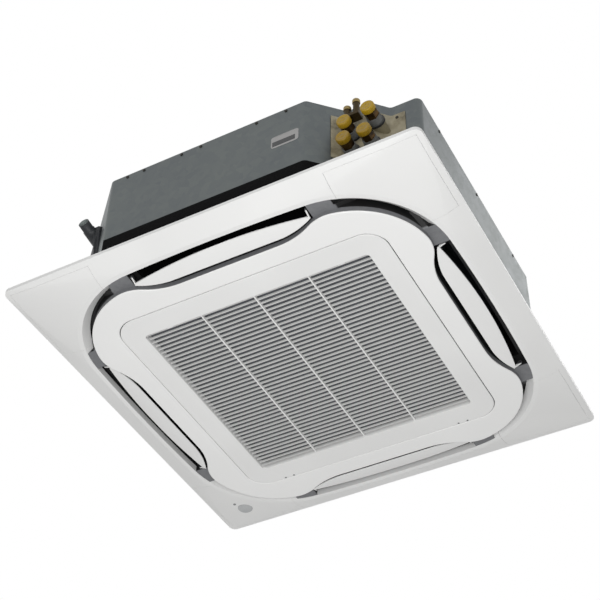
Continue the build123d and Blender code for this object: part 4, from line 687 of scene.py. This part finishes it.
class VentKnobs(bpy.types.Operator):
    """Fluted brass knobs with a screwdriver slot on the two air vents"""
    bl_idname = "cassette.vent_knobs"
    bl_label = "Make the vent knobs"

    def execute(self, context):
        turned = context.scene.cassette_turned
        material = turned_metal("fluted_brass_knob", "#A3905F", "#6E5C38", roughness=0.4)
        for circuit in ("cooling", "heating"):
            name = f"vent_screw_{circuit}"
            low, high, middle = node_box(name)
            knob = knob_surface((high[0] - low[0]) / 2, high[2] - low[2], turned.knob_flutes,
                                turned.flute_depth)
            on_vent = placed(knob, (middle[0], middle[1], low[2]), (0, 0, 1))
            piece = new_piece(f"fluted_{name}", grid_mesh(on_vent, closed=True), material)
            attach(piece, f"vent_{circuit}")
            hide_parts(name)
        return {"FINISHED"}


def knob_surface(radius, length, flutes, depth):
    """A thin stem under a fluted head with a screwdriver slot across its top.

    The top is a row of rings. Those of its points that lie within half the slot's width of the knob's middle
    line drop by the slot's depth.
    """
    stem, foot, top_radius = 2.5 * MM, 8.0 * MM, radius - 1.4 * MM
    slot_half, slot_depth, rings = 0.8 * MM, 1.6 * MM, 12
    profile = [(0.0, 0.0), (stem, 0.0), (stem, foot), (radius - 0.8 * MM, foot), (radius, foot + 0.9 * MM),
               (radius, length - 1.2 * MM), (radius - 0.5 * MM, length - 0.4 * MM)]
    profile += [(top_radius * (1 - step / rings), length) for step in range(rings + 1)]
    points = ribbed_turning(profile, flutes, depth)
    on_top = points[..., 2] > length - 0.1 * MM
    slot = on_top & (np.abs(points[..., 1]) < slot_half)
    points[..., 2] = np.where(slot, length - slot_depth, points[..., 2])
    return points


class Stage(bpy.types.Operator):
    """Pale floor, soft light and the camera"""
    bl_idname = "cassette.stage"
    bl_label = "Set the stage"

    def execute(self, context):
        scene = context.scene
        stage = scene.cassette_stage
        scene.view_settings.view_transform = "Standard"
        world = bpy.data.worlds.new("even_white_surround")
        scene.world = world
        world.use_nodes = True
        tree = world.node_tree
        tree.nodes.clear()
        strength = add_node(tree, "ShaderNodeMapRange", [("Value", seen_directly(tree))],
                            To_Min=stage.ambient, To_Max=1.0)
        background = add_node(tree, "ShaderNodeBackground", [("Strength", strength.outputs["Result"])],
                              Color=WHITE)
        add_node(tree, "ShaderNodeOutputWorld", [("Surface", background.outputs["Background"])])

        ground = grid_mesh(floor_points(half=12.0, height=cad_box[0][2] - stage.floor_drop))
        floor = new_piece("pale_floor", ground, floor_material(glow=0.5))
        softbox("key_softbox", stage.key_power, size=1.4, position=(0.75, -1.8, -2.05))
        softbox("fill_softbox", stage.fill_power, size=2.0, position=(-1.6, 2.2, -2.2))
        softbox("rim_softbox", stage.rim_power, size=1.2, position=(1.1, 1.7, 1.5))

        camera = bpy.data.objects.new("camera", bpy.data.cameras.new("camera"))
        scene.collection.objects.link(camera)
        camera.data.sensor_width = 36.0
        camera.data.lens = stage.lens
        camera.matrix_world = camera_matrix(stage.azimuth, stage.elevation, stage.roll, stage.position)
        scene.camera = camera
        return {"FINISHED"}


def floor_points(half, height):
    """A flat square grid at one height."""
    line = np.linspace(-half, half, 9)
    x, y = np.meshgrid(line, line, indexing="ij")
    return np.stack([x, y, np.full_like(x, height)], axis=-1)


def seen_directly(tree):
    """1 for what the camera sees, itself or in metal or glass, and 0 for the light on the object."""
    seen = add_node(tree, "ShaderNodeLightPath")
    direct = seen.outputs["Is Camera Ray"]
    for ray in ("Is Glossy Ray", "Is Transmission Ray"):
        direct = add_node(tree, "ShaderNodeMath", [(0, direct), (1, seen.outputs[ray])],
                          operation="MAXIMUM").outputs[0]
    return direct


def floor_material(glow, fibre_mm=40):
    """Pale seamless paper: matt, and near white where the camera sees it, itself or in metal or glass."""
    made, tree, principled, where = new_material("seamless_paper", Roughness=0.9, Emission_Color=WHITE)
    emission = add_node(tree, "ShaderNodeMapRange", [("Value", seen_directly(tree))], To_Max=glow)
    tree.links.new(emission.outputs["Result"], principled.inputs["Emission Strength"])
    fibre = add_node(tree, "ShaderNodeTexNoise", [("Vector", where)], Scale=per_metre(fibre_mm), Detail=2.0)
    tree.links.new(ramp_between(tree, fibre.outputs["Fac"], 0.3, 0.7, "#E9E9E8", "#EDEDEC"),
                   principled.inputs["Base Color"])
    return made


def softbox(name, power, size, position):
    """A square area light that faces the middle of the unit."""
    light = bpy.data.lights.new(name, "AREA")
    light.shape = "SQUARE"
    light.size = size
    light.energy = power
    lamp = bpy.data.objects.new(name, light)
    bpy.context.scene.collection.objects.link(lamp)
    aim = UNIT_MIDDLE - Vector(position)
    lamp.matrix_world = Matrix.Translation(position) @ aim.to_track_quat("-Z", "Y").to_matrix().to_4x4()


def camera_matrix(azimuth, elevation, roll, position):
    """The camera looks from a bearing and a height angle; roll turns the picture about the view line."""
    back = Vector((sin(azimuth) * cos(elevation), -cos(azimuth) * cos(elevation), sin(elevation)))
    right = (-back).cross(Vector((0, 0, 1))).normalized()
    up = right.cross(-back)
    turned_right = cos(roll) * right + sin(roll) * up
    turned_up = -sin(roll) * right + cos(roll) * up
    turn = Matrix((turned_right, turned_up, back)).transposed()
    return Matrix.Translation(position) @ turn.to_4x4()


class CassettePanel(bpy.types.Panel):
    """Lists the cassette's steps and settings"""
    bl_idname = "VIEW3D_PT_cassette"
    bl_label = "Ceiling cassette"
    bl_space_type = "VIEW_3D"
    bl_region_type = "UI"
    bl_category = "Cassette"

    def draw(self, context):
        for name in settings:
            group = getattr(context.scene, name)
            box = self.layout.box()
            for entry in group.__annotations__:
                box.prop(group, entry)
        for operator in operators:
            self.layout.operator(operator.bl_idname)


settings = {
    "cassette_finish": CassetteFinish,
    "cassette_turned": CassetteTurned,
    "cassette_stage": CassetteStage,
}
operators = (PanelFinish, CabinetFinish, RatingPlate, DrainOutlet, PipeCaps, VentKnobs, Stage)
classes = (*settings.values(), *operators, CassettePanel)


def register():
    for made in classes:
        bpy.utils.register_class(made)
    for name, group in settings.items():
        setattr(bpy.types.Scene, name, bpy.props.PointerProperty(type=group))


def unregister():
    for name in settings:
        delattr(bpy.types.Scene, name)
    for made in reversed(classes):
        bpy.utils.unregister_class(made)


def main():
    """Registers the add-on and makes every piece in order."""
    register()
    bpy.ops.cassette.panel_finish()
    bpy.ops.cassette.cabinet_finish()
    bpy.ops.cassette.rating_plate()
    bpy.ops.cassette.drain_outlet()
    bpy.ops.cassette.pipe_caps()
    bpy.ops.cassette.vent_knobs()
    bpy.ops.cassette.stage()


if __name__ == "__main__":
    main()
